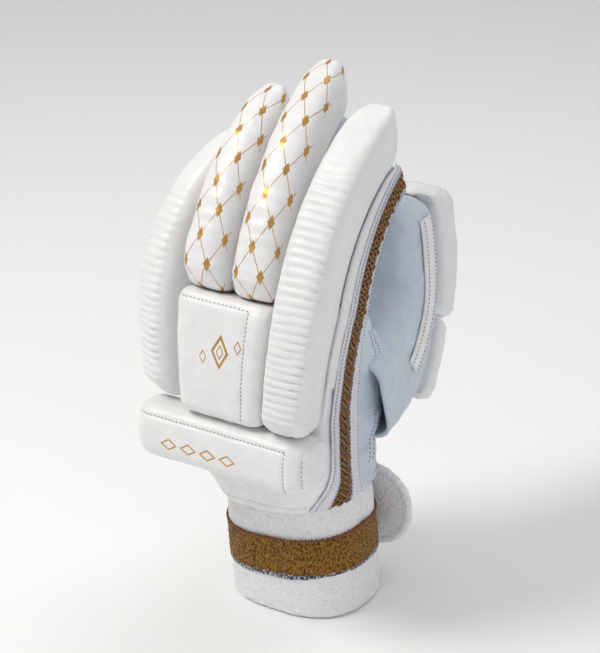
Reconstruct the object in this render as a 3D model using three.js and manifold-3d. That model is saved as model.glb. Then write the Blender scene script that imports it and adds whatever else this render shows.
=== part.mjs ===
// A left-hand cricket batting glove, upright on its towelling cuff, made as an assembly of
// named pieces. Millimetres, +Z up. +X points to the thumb side, +Y to the palm side, so the
// padded back of the hand faces -Y and the fingers curl towards +Y.
import * as THREE from 'three';
import { mergeVertices } from 'three/addons/utils/BufferGeometryUtils.js';
import Module from 'manifold-3d';

const wasm = await Module();
wasm.setup();

// Driving dimensions
const CLEARANCE = 0.4;      // kept between two pieces that are sewn together or touch
const LEATHER = 2.2;        // lined leather wall of the palm, the hand back and the stalls
const FINGER_WIDTH = 28;    // pitch of the four fingers across the hand, at the knuckles
const FOOT_WIDTH = 0.87;    // the rolls' pitch at their lower ends, as a share of that
const HAND_SHIFT = -12;     // the hand's middle, from the middle of the wrist
const HAND_DEPTH = 80;      // from the back's outer face to the heel of the palm
const BACK_OFFSET = 44;     // the back's outer face, behind the middle of the wrist
const RIM_HEIGHT = 62;      // lower edge of the leather above the floor, at the back
const RIM_RISE = { height: 6, depth: 35, until: 0.3 };  // how much higher that edge runs at the
// sides and the palm, from which depth on, and up to which share of the hand it is felt
const ROLL_FOOT = 127;      // height of the rolls' lower ends above the floor
const FINGER_LENGTH = 183;  // from there to the middle finger's tip, along the back
const KNUCKLE_REACH = 62;   // from the rolls' lower ends up to the knuckles, along the back
const KNUCKLE_ANGLE = 15;   // degrees that the back has bent towards the palm there
const KNUCKLE_POWER = 1.8;  // how late that bend comes
const ARCH = { little: 30, index: 4, power: 2.3 };  // degrees that the arched back turns its
// outer rolls away from its middle, and how late across the hand that turning comes

const CUFF = { width: 78, depth: 68, height: 74, wall: 5, corner: 31, lean: -6, flare: 1.5, slope: 0.1 };
const BAND = { bottom: 23, height: 24, wall: 1.9, proud: 0.6 };
const TAB = { length: 64, height: 50, bottom: 14, thickness: 4, start: -18, corner: 23 };
const ROLL = { outerDepth: 30, innerDepth: 27, tipTaper: 17, footTaper: 7, ringStep: 9 };
const RIB = { pitch: 4.6, height: 1.0, foot: 12, tipClear: 34 };
const STALL = {
  rootDepth: 32, tipDepth: 23, tipWidth: 21.5, corner: 6, footCorner: 11,
  tipShort: 7, tipRound: 8, upright: 0.75,
};
const PANEL = { foot: 1, depth: 25, top: 62, corner: 6 };
const BAR = { width: 101, height: 31, depth: 27, gap: 1, middle: -13, endTaper: 12 };
const STRIP = {
  mesh: 9.5, backElastic: 6, palmElastic: 10, fingerElastic: 4, tipElastic: 2, rimDepth: 22,
  tipDepth: 9, lift: 0.7, thickness: 1.6, tipShort: 10,
};
const WELT = { radius: 1.3, sides: 6, height: 1.9, stand: 0.1 };
const NET = { rows: 26, columns: 2, hole: 0.62 };
const PATCH = { thickness: 1.2, rows: [3, 4, 5, 6], left: 3, right: 36 };
const THUMB = {
  out: 64, rise: 115, foot: 100, baseX: 27, tipX: 19, tipPad: 24, basePad: 15, padWidth: 38, strip: 11,
  seam: 0.3,
};

// The fingers from the little one to the index: place across the hand in finger widths, length
// of the back along the roll as a share of the middle finger's, degrees the tip has curled, the
// roll's width and depth at the tip as shares of those at the knuckles, and how far the tip
// splays sideways.
const FINGERS = [
  { name: 'little', place: -1.42, share: 0.743, curl: 69, slim: 0.78, deep: 0.8, splay: 3, outer: true },
  { name: 'ring', place: -0.50, share: 0.885, curl: 70, slim: 0.84, deep: 1, splay: -4, outer: false },
  { name: 'middle', place: 0.49, share: 1, curl: 75, slim: 0.86, deep: 1, splay: -5, outer: false },
  { name: 'index', place: 1.49, share: 0.869, curl: 74, slim: 0.92, deep: 1, splay: 8, outer: true },
].map((finger) => ({ ...finger, length: finger.share * FINGER_LENGTH }));
const [LITTLE, RING, MIDDLE, INDEX] = FINGERS;

// Hand sections from the lower rim to the finger roots. along is a share of that whole way,
// swell goes from the cuff's oval (0) to the full hand (1), depth is a share of HAND_DEPTH and
// round the palm corners' radius as a share of FINGER_WIDTH.
const HAND_ROWS = [
  { along: 0.00, swell: 0.00, depth: 0.00, round: 0.90 },
  { along: 0.08, swell: 0.25, depth: 1.00, round: 0.92 },
  { along: 0.17, swell: 0.55, depth: 1.01, round: 0.90 },
  { along: 0.30, swell: 0.88, depth: 1.01, round: 0.84 },
  { along: 0.42, swell: 1.00, depth: 1.00, round: 0.78 },
  { along: 0.60, swell: 1.00, depth: 0.96, round: 0.74 },
  { along: 0.74, swell: 1.00, depth: 0.86, round: 0.70 },
  { along: 0.87, swell: 1.00, depth: 0.66, round: 0.56 },
  { along: 1.00, swell: 1.00, depth: 0.42, round: 0.34 },
];

// The thumb's middle line and girth: out and up are shares of THUMB.out and THUMB.rise, in from
// base to tip a share of the way in X, width and depth shares of FINGER_WIDTH.
const THUMB_ROWS = [
  { out: 0.06, up: 0.15, across: 0.00, width: 1.30, depth: 2.05 },
  { out: 0.57, up: 0.26, across: 0.10, width: 1.34, depth: 2.12 },
  { out: 0.84, up: 0.44, across: 0.30, width: 1.36, depth: 1.74 },
  { out: 0.97, up: 0.58, across: 0.55, width: 1.32, depth: 1.46 },
  { out: 1.00, up: 0.78, across: 0.80, width: 1.26, depth: 1.33 },
  { out: 1.00, up: 0.98, across: 1.00, width: 1.15, depth: 1.14 },
];

const COLOURS = {
  white: new THREE.MeshStandardMaterial({ color: 0xf1f1f2, roughness: 0.45, metalness: 0 }),
  printed: new THREE.MeshStandardMaterial({ color: 0xf3f1ea, roughness: 0.42, metalness: 0 }),
  palm: new THREE.MeshStandardMaterial({ color: 0xd6dee5, roughness: 0.7, metalness: 0 }),
  elastic: new THREE.MeshStandardMaterial({ color: 0xe6e6ea, roughness: 0.85, metalness: 0 }),
  mesh: new THREE.MeshStandardMaterial({ color: 0x7a531c, roughness: 0.8, metalness: 0 }),
  towel: new THREE.MeshStandardMaterial({ color: 0xdededf, roughness: 0.95, metalness: 0 }),
  band: new THREE.MeshStandardMaterial({ color: 0x7d5518, roughness: 0.95, metalness: 0 }),
};

const lerp = (a, b, t) => a + (b - a) * t;
const clamp01 = (t) => Math.min(1, Math.max(0, t));
const radians = (degrees) => degrees * Math.PI / 180;

// Reads a table at t: finds the two rows round it by their key column, and blends every column.
function tableAt(rows, key, t) {
  let i = 1;
  while (i < rows.length - 1 && rows[i][key] < t) i += 1;
  const [a, b] = [rows[i - 1], rows[i]];
  const share = clamp01((t - a[key]) / (b[key] - a[key]));
  const blended = {};
  for (const column of Object.keys(a)) blended[column] = lerp(a[column], b[column], share);
  return blended;
}

// Bend of the back at a distance s along it, in radians: the knuckle stretch is the same for
// every finger, and beyond it each finger curls on to its own tip angle with no kink.
function bendAt(finger, s) {
  if (s <= 0) return 0;
  if (s <= KNUCKLE_REACH) return radians(KNUCKLE_ANGLE * (s / KNUCKLE_REACH) ** KNUCKLE_POWER);
  const onward = s - KNUCKLE_REACH;
  const whole = finger.length - KNUCKLE_REACH;
  const slope = KNUCKLE_POWER * KNUCKLE_ANGLE / KNUCKLE_REACH;
  const rise = (finger.curl - KNUCKLE_ANGLE - slope * whole) / whole ** 2;
  return radians(KNUCKLE_ANGLE + slope * onward + rise * onward ** 2);
}

// A finger's spine is the face between its roll and what the roll is sewn on. This gives the
// spine's point at a distance s, the way along it, the way out of the back and the way across.
const SPINE_STEP = 1;
const ACROSS = new THREE.Vector3(1, 0, 0);
// How much the hand has widened from the rolls' feet to the knuckles
const widthAt = (s) => FINGER_WIDTH * lerp(FOOT_WIDTH, 1, clamp01(s / KNUCKLE_REACH));
// The arched back, across the hand from its middle in finger widths: its slope and its drop.
const ARCH_REACH = 1.5;
const archSteepness = (x) => Math.tan(radians(x < 0 ? ARCH.little : ARCH.index));
function archSlope(x) {
  return -Math.sign(x) * archSteepness(x) * (Math.abs(x) / ARCH_REACH) ** (ARCH.power - 1);
}
function archDrop(x) {
  return archSteepness(x) * ARCH_REACH / ARCH.power * (Math.abs(x) / ARCH_REACH) ** ARCH.power;
}
function makeSpine(finger) {
  const points = [new THREE.Vector3(0, -BACK_OFFSET, ROLL_FOOT)];
  const steps = Math.ceil((finger.length + STALL.rootDepth) / SPINE_STEP);
  const turn = Math.atan(archSlope(finger.place));
  const frameAt = (s) => {
    const knuckle = bendAt(finger, Math.min(s, KNUCKLE_REACH));
    const along = new THREE.Vector3(0, Math.sin(knuckle), Math.cos(knuckle));
    const level = new THREE.Vector3(0, -Math.cos(knuckle), Math.sin(knuckle));
    const across = ACROSS.clone().applyAxisAngle(along, -turn);
    const out = level.applyAxisAngle(along, -turn);
    const curled = bendAt(finger, s) - knuckle;
    return {
      along: along.applyAxisAngle(across, -curled), out: out.applyAxisAngle(across, -curled), across,
    };
  };
  for (let i = 0; i < steps; i += 1) {
    points.push(points[i].clone().addScaledVector(frameAt((i + 0.5) * SPINE_STEP).along, SPINE_STEP));
  }
  return (s) => {
    const frame = frameAt(s);
    const i = Math.max(0, Math.min(points.length - 1, Math.floor(s / SPINE_STEP)));
    const reach = clamp01((s - KNUCKLE_REACH) / (finger.length - KNUCKLE_REACH));
    const width = widthAt(s);
    const level = bendAt(finger, Math.min(s, KNUCKLE_REACH));
    const drop = archDrop(finger.place) * width;
    frame.point = points[i].clone().addScaledVector(frame.along, s - i * SPINE_STEP);
    frame.point.x += HAND_SHIFT + finger.place * width + finger.splay * reach ** 1.5;
    frame.point.y += drop * Math.cos(level);
    frame.point.z -= drop * Math.sin(level);
    return frame;
  };
}
const SPINES = Object.fromEntries(FINGERS.map((finger) => [finger.name, makeSpine(finger)]));
// The middle line of the whole back, for what lies across several fingers.
const handSpine = makeSpine({ ...MIDDLE, place: 0, splay: 0 });

// A point beside a frame: x across, n out of the back, s along.
function beside(frame, x, n, s = 0) {
  return frame.point.clone().addScaledVector(frame.across, x).addScaledVector(frame.out, n)
    .addScaledVector(frame.along, s);
}

// Outlines, as lists of [x, n]. A loaf is crowned on top and flatter below; both halves are
// superellipses, and a higher power gives a squarer corner.
function loaf(width, low, high, topPower, lowPower, sides) {
  const middle = lerp(low, high, 0.42);
  return Array.from({ length: sides }, (_, k) => {
    const turn = (k + 0.5) / sides * 2 * Math.PI;
    const [c, s] = [Math.cos(turn), Math.sin(turn)];
    const power = 2 / (s > 0 ? topPower : lowPower);
    const x = width / 2 * Math.sign(c) * Math.abs(c) ** power;
    const n = middle + (s > 0 ? high - middle : middle - low) * Math.sign(s) * Math.abs(s) ** power;
    return [x, n];
  });
}

// A box with rounded corners, anticlockwise from its right side, with steps to each corner and
// some points between the corners, where a wall can be split.
const CORNER_STEPS = 3;
const SIDE_POINTS = 2;
function roundBox(
  left, right, low, high, lowRadius, highRadius, steps = CORNER_STEPS, between = SIDE_POINTS,
) {
  const most = 0.49 * Math.min(right - left, high - low);
  const [rl, rh] = [Math.min(lowRadius, most), Math.min(highRadius, most)];
  const corners = [
    [right - rh, high - rh, rh, 0], [left + rh, high - rh, rh, 90],
    [left + rl, low + rl, rl, 180], [right - rl, low + rl, rl, 270],
  ];
  const points = [];
  corners.forEach(([x, n, r, start], k) => {
    for (let i = 0; i <= steps; i += 1) {
      const turn = radians(start + 90 * i / steps);
      points.push([x + r * Math.cos(turn), n + r * Math.sin(turn)]);
    }
    const [nx, nn, nr, next] = corners[(k + 1) % 4];
    const from = points[points.length - 1];
    const to = [nx + nr * Math.cos(radians(next)), nn + nr * Math.sin(radians(next))];
    for (let i = 1; i <= between; i += 1) {
      const t = i / (between + 1);
      points.push([lerp(from[0], to[0], t), lerp(from[1], to[1], t)]);
    }
  });
  return points;
}

// Turns vertices and triangles into a geometry whose faces point out.
function closedGeometry(vertices, triangles) {
  let volume = 0;
  for (const [a, b, c] of triangles) {
    volume += vertices[a].dot(new THREE.Vector3().crossVectors(vertices[b], vertices[c]));
  }
  const index = triangles.flatMap(([a, b, c]) => (volume < 0 ? [a, c, b] : [a, b, c]));
  const geometry = new THREE.BufferGeometry().setFromPoints(vertices);
  geometry.setIndex(index);
  geometry.computeVertexNormals();
  return geometry;
}

// Joins closed rings of points into a skin. A looped skin is a tube that comes back to its
// first ring; any other is closed by a fan at each end.
function loft(rings, looped = false) {
  const size = rings[0].length;
  const vertices = rings.flat();
  const triangles = [];
  const last = looped ? rings.length : rings.length - 1;
  for (let i = 0; i < last; i += 1) {
    const [here, there] = [i * size, ((i + 1) % rings.length) * size];
    for (let k = 0; k < size; k += 1) {
      const next = (k + 1) % size;
      triangles.push([here + k, here + next, there + next], [here + k, there + next, there + k]);
    }
  }
  if (!looped) {
    [[0, rings[0]], [(rings.length - 1) * size, rings[rings.length - 1]]].forEach(([at, ring], end) => {
      const middle = ring.reduce((sum, p) => sum.add(p), new THREE.Vector3()).divideScalar(size);
      vertices.push(middle);
      for (let k = 0; k < size; k += 1) {
        const pair = [at + k, at + (k + 1) % size];
        const edge = end ? pair : pair.toReversed();
        triangles.push([...edge, vertices.length - 1]);
      }
    });
  }
  return closedGeometry(vertices, triangles);
}

// A wall from two grids of points, its outer and its inner face, closed round the edges.
function sheet(outer, inner) {
  const [rows, columns] = [outer.length, outer[0].length];
  const vertices = [...outer.flat(), ...inner.flat()];
  const at = (face, i, k) => face * rows * columns + i * columns + k;
  const triangles = [];
  const quad = (a, b, c, d) => triangles.push([a, b, c], [a, c, d]);
  for (let i = 0; i < rows - 1; i += 1) {
    for (let k = 0; k < columns - 1; k += 1) {
      quad(at(0, i, k), at(0, i, k + 1), at(0, i + 1, k + 1), at(0, i + 1, k));
      quad(at(1, i, k), at(1, i + 1, k), at(1, i + 1, k + 1), at(1, i, k + 1));
    }
    quad(at(0, i, 0), at(0, i + 1, 0), at(1, i + 1, 0), at(1, i, 0));
    quad(at(0, i + 1, columns - 1), at(0, i, columns - 1), at(1, i, columns - 1), at(1, i + 1, columns - 1));
  }
  for (let k = 0; k < columns - 1; k += 1) {
    quad(at(0, 0, k + 1), at(0, 0, k), at(1, 0, k), at(1, 0, k + 1));
    quad(at(0, rows - 1, k), at(0, rows - 1, k + 1), at(1, rows - 1, k + 1), at(1, rows - 1, k));
  }
  return closedGeometry(vertices, triangles);
}

// A net: each cell of a grid of points has a diamond cut through it. pointAt gives the point at
// shares u along and v across, on the outer (0) or the inner (1) face.
function net(pointAt, rows, columns, hole) {
  const vertices = [];
  const triangles = [];
  const seen = new Map();
  const at = (face, u, v) => {
    const key = [face, u.toFixed(5), v.toFixed(5)].join();
    if (!seen.has(key)) {
      seen.set(key, vertices.length);
      vertices.push(pointAt(u, v, face));
    }
    return seen.get(key);
  };
  const face = (side, a, b, c) => triangles.push(side ? [a, c, b] : [a, b, c]);
  const wall = (a, b) => {
    const [p, q, r, s] = [at(0, ...a), at(0, ...b), at(1, ...b), at(1, ...a)];
    triangles.push([p, s, r], [p, r, q]);
  };
  for (let i = 0; i < rows; i += 1) {
    for (let k = 0; k < columns; k += 1) {
      const [u0, u1, v0, v1] = [i / rows, (i + 1) / rows, k / columns, (k + 1) / columns];
      const [um, vm, ru, rv] = [(u0 + u1) / 2, (v0 + v1) / 2, (u1 - u0) / 2 * hole, (v1 - v0) / 2 * hole];
      const corners = [[u0, v0], [u0, v1], [u1, v1], [u1, v0]];
      const diamond = [[um - ru, vm], [um, vm + rv], [um + ru, vm], [um, vm - rv]];
      for (let q = 0; q < 4; q += 1) {
        const next = (q + 1) % 4;
        for (const side of [0, 1]) {
          face(side, at(side, ...corners[q]), at(side, ...corners[next]), at(side, ...diamond[q]));
          face(side, at(side, ...corners[next]), at(side, ...diamond[next]), at(side, ...diamond[q]));
        }
        wall(diamond[next], diamond[q]);
      }
      if (i === 0) wall([u0, v0], [u0, v1]);
      if (i === rows - 1) wall([u1, v1], [u1, v0]);
      if (k === 0) wall([u1, v0], [u0, v0]);
      if (k === columns - 1) wall([u0, v1], [u1, v1]);
    }
  }
  return closedGeometry(vertices, triangles);
}

// Solids for cutting one piece by another
function toSolid(geometry) {
  const bare = geometry.clone();
  for (const name of Object.keys(bare.attributes)) {
    if (name !== 'position') bare.deleteAttribute(name);
  }
  const merged = mergeVertices(bare, 1e-4);
  return new wasm.Manifold(new wasm.Mesh({
    numProp: 3,
    vertProperties: new Float32Array(merged.attributes.position.array),
    triVerts: new Uint32Array(merged.index.array),
  }));
}
function toGeometry(solid) {
  const made = solid.getMesh();
  const geometry = new THREE.BufferGeometry();
  geometry.setAttribute('position', new THREE.BufferAttribute(new Float32Array(made.vertProperties), 3));
  geometry.setIndex(Array.from(made.triVerts));
  geometry.computeVertexNormals();
  return geometry;
}
// The largest body of a cut piece, so that a loose sliver isn't kept with it.
function mainBody(solid) {
  return solid.decompose().sort((a, b) => b.volume() - a.volume())[0];
}

// Cuff: an oval towelling sleeve that leans a little towards the little finger as it rises. Its
// two rims are level, and between them its sections tilt with the lean.
function cuffMiddle(z) {
  return CUFF.lean * (z / CUFF.height - 0.3);
}
function cuffTilt(z, x) {
  return CUFF.slope * x * clamp01(z / BAND.bottom) * clamp01((CUFF.height - z) / (CUFF.height - RIM_HEIGHT));
}
const cuffSwell = (z) => CUFF.flare * (1 - clamp01(z / CUFF.height));
function cuffRing(z, inset) {
  const swell = cuffSwell(z) - inset;
  const [halfWidth, halfDepth] = [CUFF.width / 2 + swell, CUFF.depth / 2 + swell];
  const corner = CUFF.corner + swell;
  return roundBox(-halfWidth, halfWidth, -halfDepth, halfDepth, corner, corner)
    .map(([x, y]) => new THREE.Vector3(cuffMiddle(z) + x, -y, z + cuffTilt(z, x)));
}
function cuffGeometry() {
  const groove = BAND.wall - BAND.proud + CLEARANCE;
  const [low, high] = [BAND.bottom, BAND.bottom + BAND.height];
  const profile = [
    [0, 0], [low - CLEARANCE, 0], [low - CLEARANCE, groove], [high + CLEARANCE, groove],
    [high + CLEARANCE, 0], [CUFF.height, 0], [CUFF.height, CUFF.wall], [0, CUFF.wall],
  ];
  return loft(profile.map(([z, inset]) => cuffRing(z, inset)), true);
}
function bandGeometry() {
  const inner = BAND.wall - BAND.proud;
  const [low, high] = [BAND.bottom, BAND.bottom + BAND.height];
  const profile = [[low, -BAND.proud], [high, -BAND.proud], [high, inner], [low, inner]];
  return loft(profile.map(([z, inset]) => cuffRing(z, inset)), true);
}

// The rounded end of the wrist strap, a plate that leaves the cuff's palm side at a tangent.
function tabGeometry() {
  const { length, height, corner, thickness } = TAB;
  const square = 5;
  const outline = new THREE.Shape();
  outline.moveTo(square, 0);
  outline.lineTo(length - corner, 0);
  outline.absarc(length - corner, corner, corner, -Math.PI / 2, 0);
  outline.absarc(length - corner, height - corner, corner, 0, Math.PI / 2);
  outline.lineTo(square, height);
  outline.absarc(square, height - square, square, Math.PI / 2, Math.PI);
  outline.absarc(square, square, square, Math.PI, 1.5 * Math.PI);
  const geometry = new THREE.ExtrudeGeometry(outline, {
    depth: thickness, bevelEnabled: false, curveSegments: 7,
  });
  geometry.rotateX(Math.PI / 2);
  geometry.translate(TAB.start, CUFF.depth / 2 + CUFF.flare + CLEARANCE + thickness, TAB.bottom);
  return geometry;
}

// The hand's section at a distance s along the back, in [x, n] from the middle of the back.
const RIM_S = RIM_HEIGHT - ROLL_FOOT;
// Where the two outer fingers' outer edges come to, in finger widths from the hand's middle
const edgeOf = (finger) => Math.abs(finger.place) + Math.cos(Math.atan(archSlope(finger.place))) / 2;
function handLimits(s, inset = 0) {
  const along = (s - RIM_S) / (KNUCKLE_REACH - RIM_S);
  const row = tableAt(HAND_ROWS, 'along', along);
  const z = ROLL_FOOT + s;
  const grown = cuffSwell(z) + CLEARANCE + LEATHER;
  const cuff = {
    left: cuffMiddle(z) - HAND_SHIFT - CUFF.width / 2 - grown,
    right: cuffMiddle(z) - HAND_SHIFT + CUFF.width / 2 + grown,
    high: CUFF.depth / 2 + grown - BACK_OFFSET,
    low: -(CUFF.depth / 2 + grown + BACK_OFFSET),
    radius: CUFF.corner + grown,
  };
  const least = row.depth > 0.9 ? -cuff.low * (1 - row.swell) : 0;
  const deep = Math.max(row.depth * HAND_DEPTH, least);
  return {
    swell: row.swell,
    left: lerp(cuff.left, CLEARANCE - edgeOf(LITTLE) * widthAt(s), row.swell) + inset,
    right: lerp(cuff.right, edgeOf(INDEX) * widthAt(s) - CLEARANCE, row.swell) - inset,
    high: lerp(cuff.high, 0, Math.min(1, 1.3 * row.swell)) - inset,
    low: lerp(cuff.low, -deep, row.swell) + inset,
    lowRadius: lerp(cuff.radius, row.round * FINGER_WIDTH, row.swell) - inset,
    highRadius: lerp(cuff.radius, 0.3 * FINGER_WIDTH, row.swell) - inset,
  };
}
// How much higher than the middle of the back a point lies, with the rise of the lower rim.
function handLift(s, x, n) {
  const near = 1 - clamp01((s - RIM_S) / (KNUCKLE_REACH - RIM_S) / RIM_RISE.until);
  const rise = RIM_RISE.height * clamp01(-n / RIM_RISE.depth);
  return near * (rise + cuffTilt(RIM_HEIGHT, x + HAND_SHIFT));
}
// A point of that section, dropped with the arch of the back, less so towards the palm.
function handPoint(s, x, n) {
  const width = widthAt(s);
  const { swell } = handLimits(s);
  const drop = width * archDrop(x / width) * swell * clamp01(1 + n / HAND_DEPTH);
  return beside(handSpine(s), x, n - drop, handLift(s, x, n));
}
function handRing(s, inset = 0) {
  const at = handLimits(s, inset);
  return roundBox(at.left, at.right, at.low, at.high, at.lowRadius, at.highRadius)
    .map(([x, n]) => handPoint(s, x, n));
}
const HAND_STATIONS = HAND_ROWS.map(({ along }) => lerp(RIM_S, KNUCKLE_REACH, along));

// The hand's wall is split down its two sides, into the back and the palm.
const RIGHT_SPLIT = 4 * (CORNER_STEPS + 1 + SIDE_POINTS) - 1;
const LEFT_SPLIT = 2 * (CORNER_STEPS + 1) + SIDE_POINTS;
function handPart(from, to) {
  const size = RIGHT_SPLIT + 1;
  const span = (ring) => {
    const picked = [];
    for (let k = from; k <= to; k += 1) picked.push(ring[k % size]);
    return picked;
  };
  const trim = (row) => {
    const shift = CLEARANCE / 2;
    const [first, last] = [row[0].clone(), row[row.length - 1].clone()];
    first.addScaledVector(row[1].clone().sub(row[0]).normalize(), shift);
    last.addScaledVector(row[row.length - 2].clone().sub(row[row.length - 1]).normalize(), shift);
    return [first, ...row.slice(1, -1), last];
  };
  const outer = HAND_STATIONS.map((s) => trim(span(handRing(s))));
  const inner = HAND_STATIONS.map((s) => trim(span(handRing(s, LEATHER))));
  return sheet(outer, inner);
}
// The whole hand grown by a little and filled, for cutting what is sewn to it.
function handFilled(grow) {
  return toSolid(loft(HAND_STATIONS.map((s) => handRing(s, -grow))));
}

// Rolls
function rollStations(finger, start) {
  const end = finger.length;
  const places = [0, 0.12, 0.4, 1].map((t) => start + t * ROLL.footTaper);
  const ribs = { from: start + RIB.foot, to: end - RIB.tipClear };
  const body = end - ROLL.tipTaper;
  if (finger.outer) {
    const count = Math.round((ribs.to - ribs.from) / RIB.pitch);
    const pitch = (ribs.to - ribs.from) / count;
    for (let i = 0; i <= 2 * count; i += 1) places.push(ribs.from + i * pitch / 2);
  }
  const from = places[places.length - 1];
  const steps = Math.max(1, Math.round((body - from) / ROLL.ringStep));
  for (let i = 1; i <= steps; i += 1) places.push(lerp(from, body, i / steps));
  for (const t of [0.35, 0.65, 0.86, 1]) places.push(body + t * ROLL.tipTaper);
  return places;
}
// How the outline of a roll shrinks at its blunt foot and towards its wedge-shaped tip.
const pastKnuckle = (finger, s) => clamp01((s - KNUCKLE_REACH) / (finger.length - KNUCKLE_REACH));
const slimAt = (finger, s) => lerp(1, finger.slim, pastKnuckle(finger, s));
function rollShape(finger, start, s) {
  const foot = 1 - clamp01((s - start) / ROLL.footTaper);
  const tip = clamp01((s - finger.length) / ROLL.tipTaper + 1);
  const depth = (finger.outer ? ROLL.outerDepth : ROLL.innerDepth)
    * lerp(1, finger.deep, pastKnuckle(finger, s));
  const narrowing = (1 - 0.16 * foot ** 3) * (1 - 0.52 * tip ** 2.4);
  return {
    width: (widthAt(s) * slimAt(finger, s) - 2 * CLEARANCE) * narrowing,
    low: CLEARANCE + depth * (0.12 * foot ** 3 + 0.55 * tip ** 2),
    high: depth * (1 - 0.2 * foot ** 3 - 0.1 * tip ** 2),
  };
}
function rollGeometry(finger, start, grow = 0) {
  const ribs = { from: start + RIB.foot, to: finger.length - RIB.tipClear };
  const count = Math.round((ribs.to - ribs.from) / RIB.pitch);
  const sides = finger.outer ? 12 : 14;
  const rings = rollStations(finger, start).map((s) => {
    const at = rollShape(finger, start, s);
    const along = (s - ribs.from) / (ribs.to - ribs.from) * count;
    const crest = finger.outer && along > -0.01 && along < count + 0.01
      ? 0.5 - 0.5 * Math.cos(2 * Math.PI * along) : 0;
    const power = finger.outer ? 3.1 : 2.5;
    const top = at.high + RIB.height * crest + grow;
    const outline = loaf(at.width + 2 * grow, at.low - grow, top, power, 5, sides);
    const frame = SPINES[finger.name](s);
    return outline.map(([x, n]) => beside(frame, x, n));
  });
  return loft(rings);
}

// Finger stalls: hollow leather tubes under the rolls, open at the root and closed at the tip.
function stallLimits(finger, s) {
  const end = finger.length - STALL.tipShort;
  const along = clamp01((s - KNUCKLE_REACH) / (end - KNUCKLE_REACH));
  const tip = clamp01((s - end) / STALL.tipRound + 1);
  const shrink = Math.sqrt(1 - 0.7 * tip ** 2);
  const half = lerp(FINGER_WIDTH / 2 - CLEARANCE, STALL.tipWidth / 2, along ** 2) * shrink;
  const depth = lerp(STALL.rootDepth, STALL.tipDepth, along);
  const middle = -depth / 2;
  return { half, low: middle - depth / 2 * shrink, high: middle + depth / 2 * shrink - CLEARANCE };
}
// A stall hangs more upright than its turned roll: how far it shears sideways per depth.
const stallLean = (finger) => STALL.upright * archSlope(finger.place);
function stallRing(finger, s, inset) {
  const at = stallLimits(finger, s);
  const [top, foot] = [STALL.corner - inset, STALL.footCorner - inset];
  const frame = SPINES[finger.name](s);
  const lean = stallLean(finger);
  return roundBox(-at.half + inset, at.half - inset, at.low + inset, at.high - inset, foot, top, 2, 0)
    .map(([x, n]) => beside(frame, x + lean * n, n));
}
// A stall filled up, with its skin moved in by inset; a cavity also reaches out past the root.
function stallFilled(finger, inset, cavity) {
  const root = KNUCKLE_REACH + CLEARANCE;
  const end = finger.length - STALL.tipShort - Math.max(0, inset);
  const round = end - STALL.tipRound;
  const stations = [0.2, 0.42, 0.64, 0.84].map((t) => lerp(root, round, t));
  return toSolid(loft([cavity ? root - 1 : root, ...stations, round, end - STALL.tipRound / 2, end]
    .map((s) => stallRing(finger, s, inset))));
}
// Where a stall leans on the next finger's, both its skin and its cavity make room for it.
function stallGeometry(finger, neighbour) {
  let [skin, cavity] = [stallFilled(finger, 0, false), stallFilled(finger, LEATHER, true)];
  if (neighbour) {
    skin = skin.subtract(stallFilled(neighbour, -CLEARANCE, true));
    cavity = cavity.subtract(stallFilled(neighbour, -CLEARANCE - LEATHER, true));
  }
  return toGeometry(mainBody(skin.subtract(cavity)));
}

// The back panel between the two outer rolls, below the two printed ones.
function panelGeometry() {
  const { foot, top, depth, corner } = PANEL;
  const places = [0, 0.04, 0.12, 0.3, 0.5, 0.7, 0.88, 0.96, 1];
  return loft(places.map((t) => {
    const edge = Math.max(0, Math.abs(2 * t - 1) - 0.76) / 0.24;
    const squeeze = corner * (1 - Math.sqrt(Math.max(0, 1 - edge ** 2)));
    const s = lerp(foot, top, t);
    const frame = handSpine(s);
    const width = 2 * widthAt(s) - 2 * CLEARANCE;
    const half = width / 2 - 0.3 * squeeze;
    const outline = roundBox(-half, half, CLEARANCE + 0.2 * squeeze, depth - squeeze, 3, corner);
    return outline.map(([x, n]) => beside(frame, x, n));
  }));
}

// The wrist bar across the lower end of the rolls, a padded log with rounded ends.
function barGeometry() {
  const { width, height, depth, gap, middle, endTaper } = BAR;
  const half = width / 2;
  const level = ROLL_FOOT - gap - height / 2;
  const places = [-1, -0.975, -0.92, -0.8, -0.5, 0, 0.5, 0.8, 0.92, 0.975, 1];
  return loft(places.map((t) => {
    const end = clamp01((Math.abs(t) * half - half + endTaper) / endTaper);
    const size = Math.sqrt(1 - 0.62 * end ** 2.5);
    const y = -BACK_OFFSET - CLEARANCE - depth / 2 + depth * 0.5 * (1 - size);
    return loaf(depth * size, -height / 2 * size, height / 2 * size, 3, 2.6, 14)
      .map(([x, n]) => new THREE.Vector3(middle + t * half, y + x, level + n));
  }));
}

// Strips up the thumb side, from the leather's lower edge to the index finger's tip. On the
// hand they lie on its side wall, and past the knuckles on the index finger's stall.
const STRIP_START = RIM_S + 1;
const STRIP_END = INDEX.length - STRIP.tipShort;
function handFace(s, n) {
  const at = handLimits(s);
  const high = Math.max(0, n - (at.high - at.highRadius));
  const low = Math.max(0, at.low + at.lowRadius - n);
  const [past, radius] = high > 0 ? [high, at.highRadius] : [low, at.lowRadius];
  return at.right - radius + Math.sqrt(Math.max(0, radius ** 2 - past ** 2));
}
function sideFace(s, n) {
  if (s > KNUCKLE_REACH) return stallLimits(INDEX, s).half + stallLean(INDEX) * n;
  let i = 1;
  while (i < HAND_STATIONS.length - 1 && HAND_STATIONS[i] < s) i += 1;
  const [a, b] = [HAND_STATIONS[i - 1], HAND_STATIONS[i]];
  return lerp(handFace(a, n), handFace(b, n), (s - a) / (b - a));
}
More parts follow.
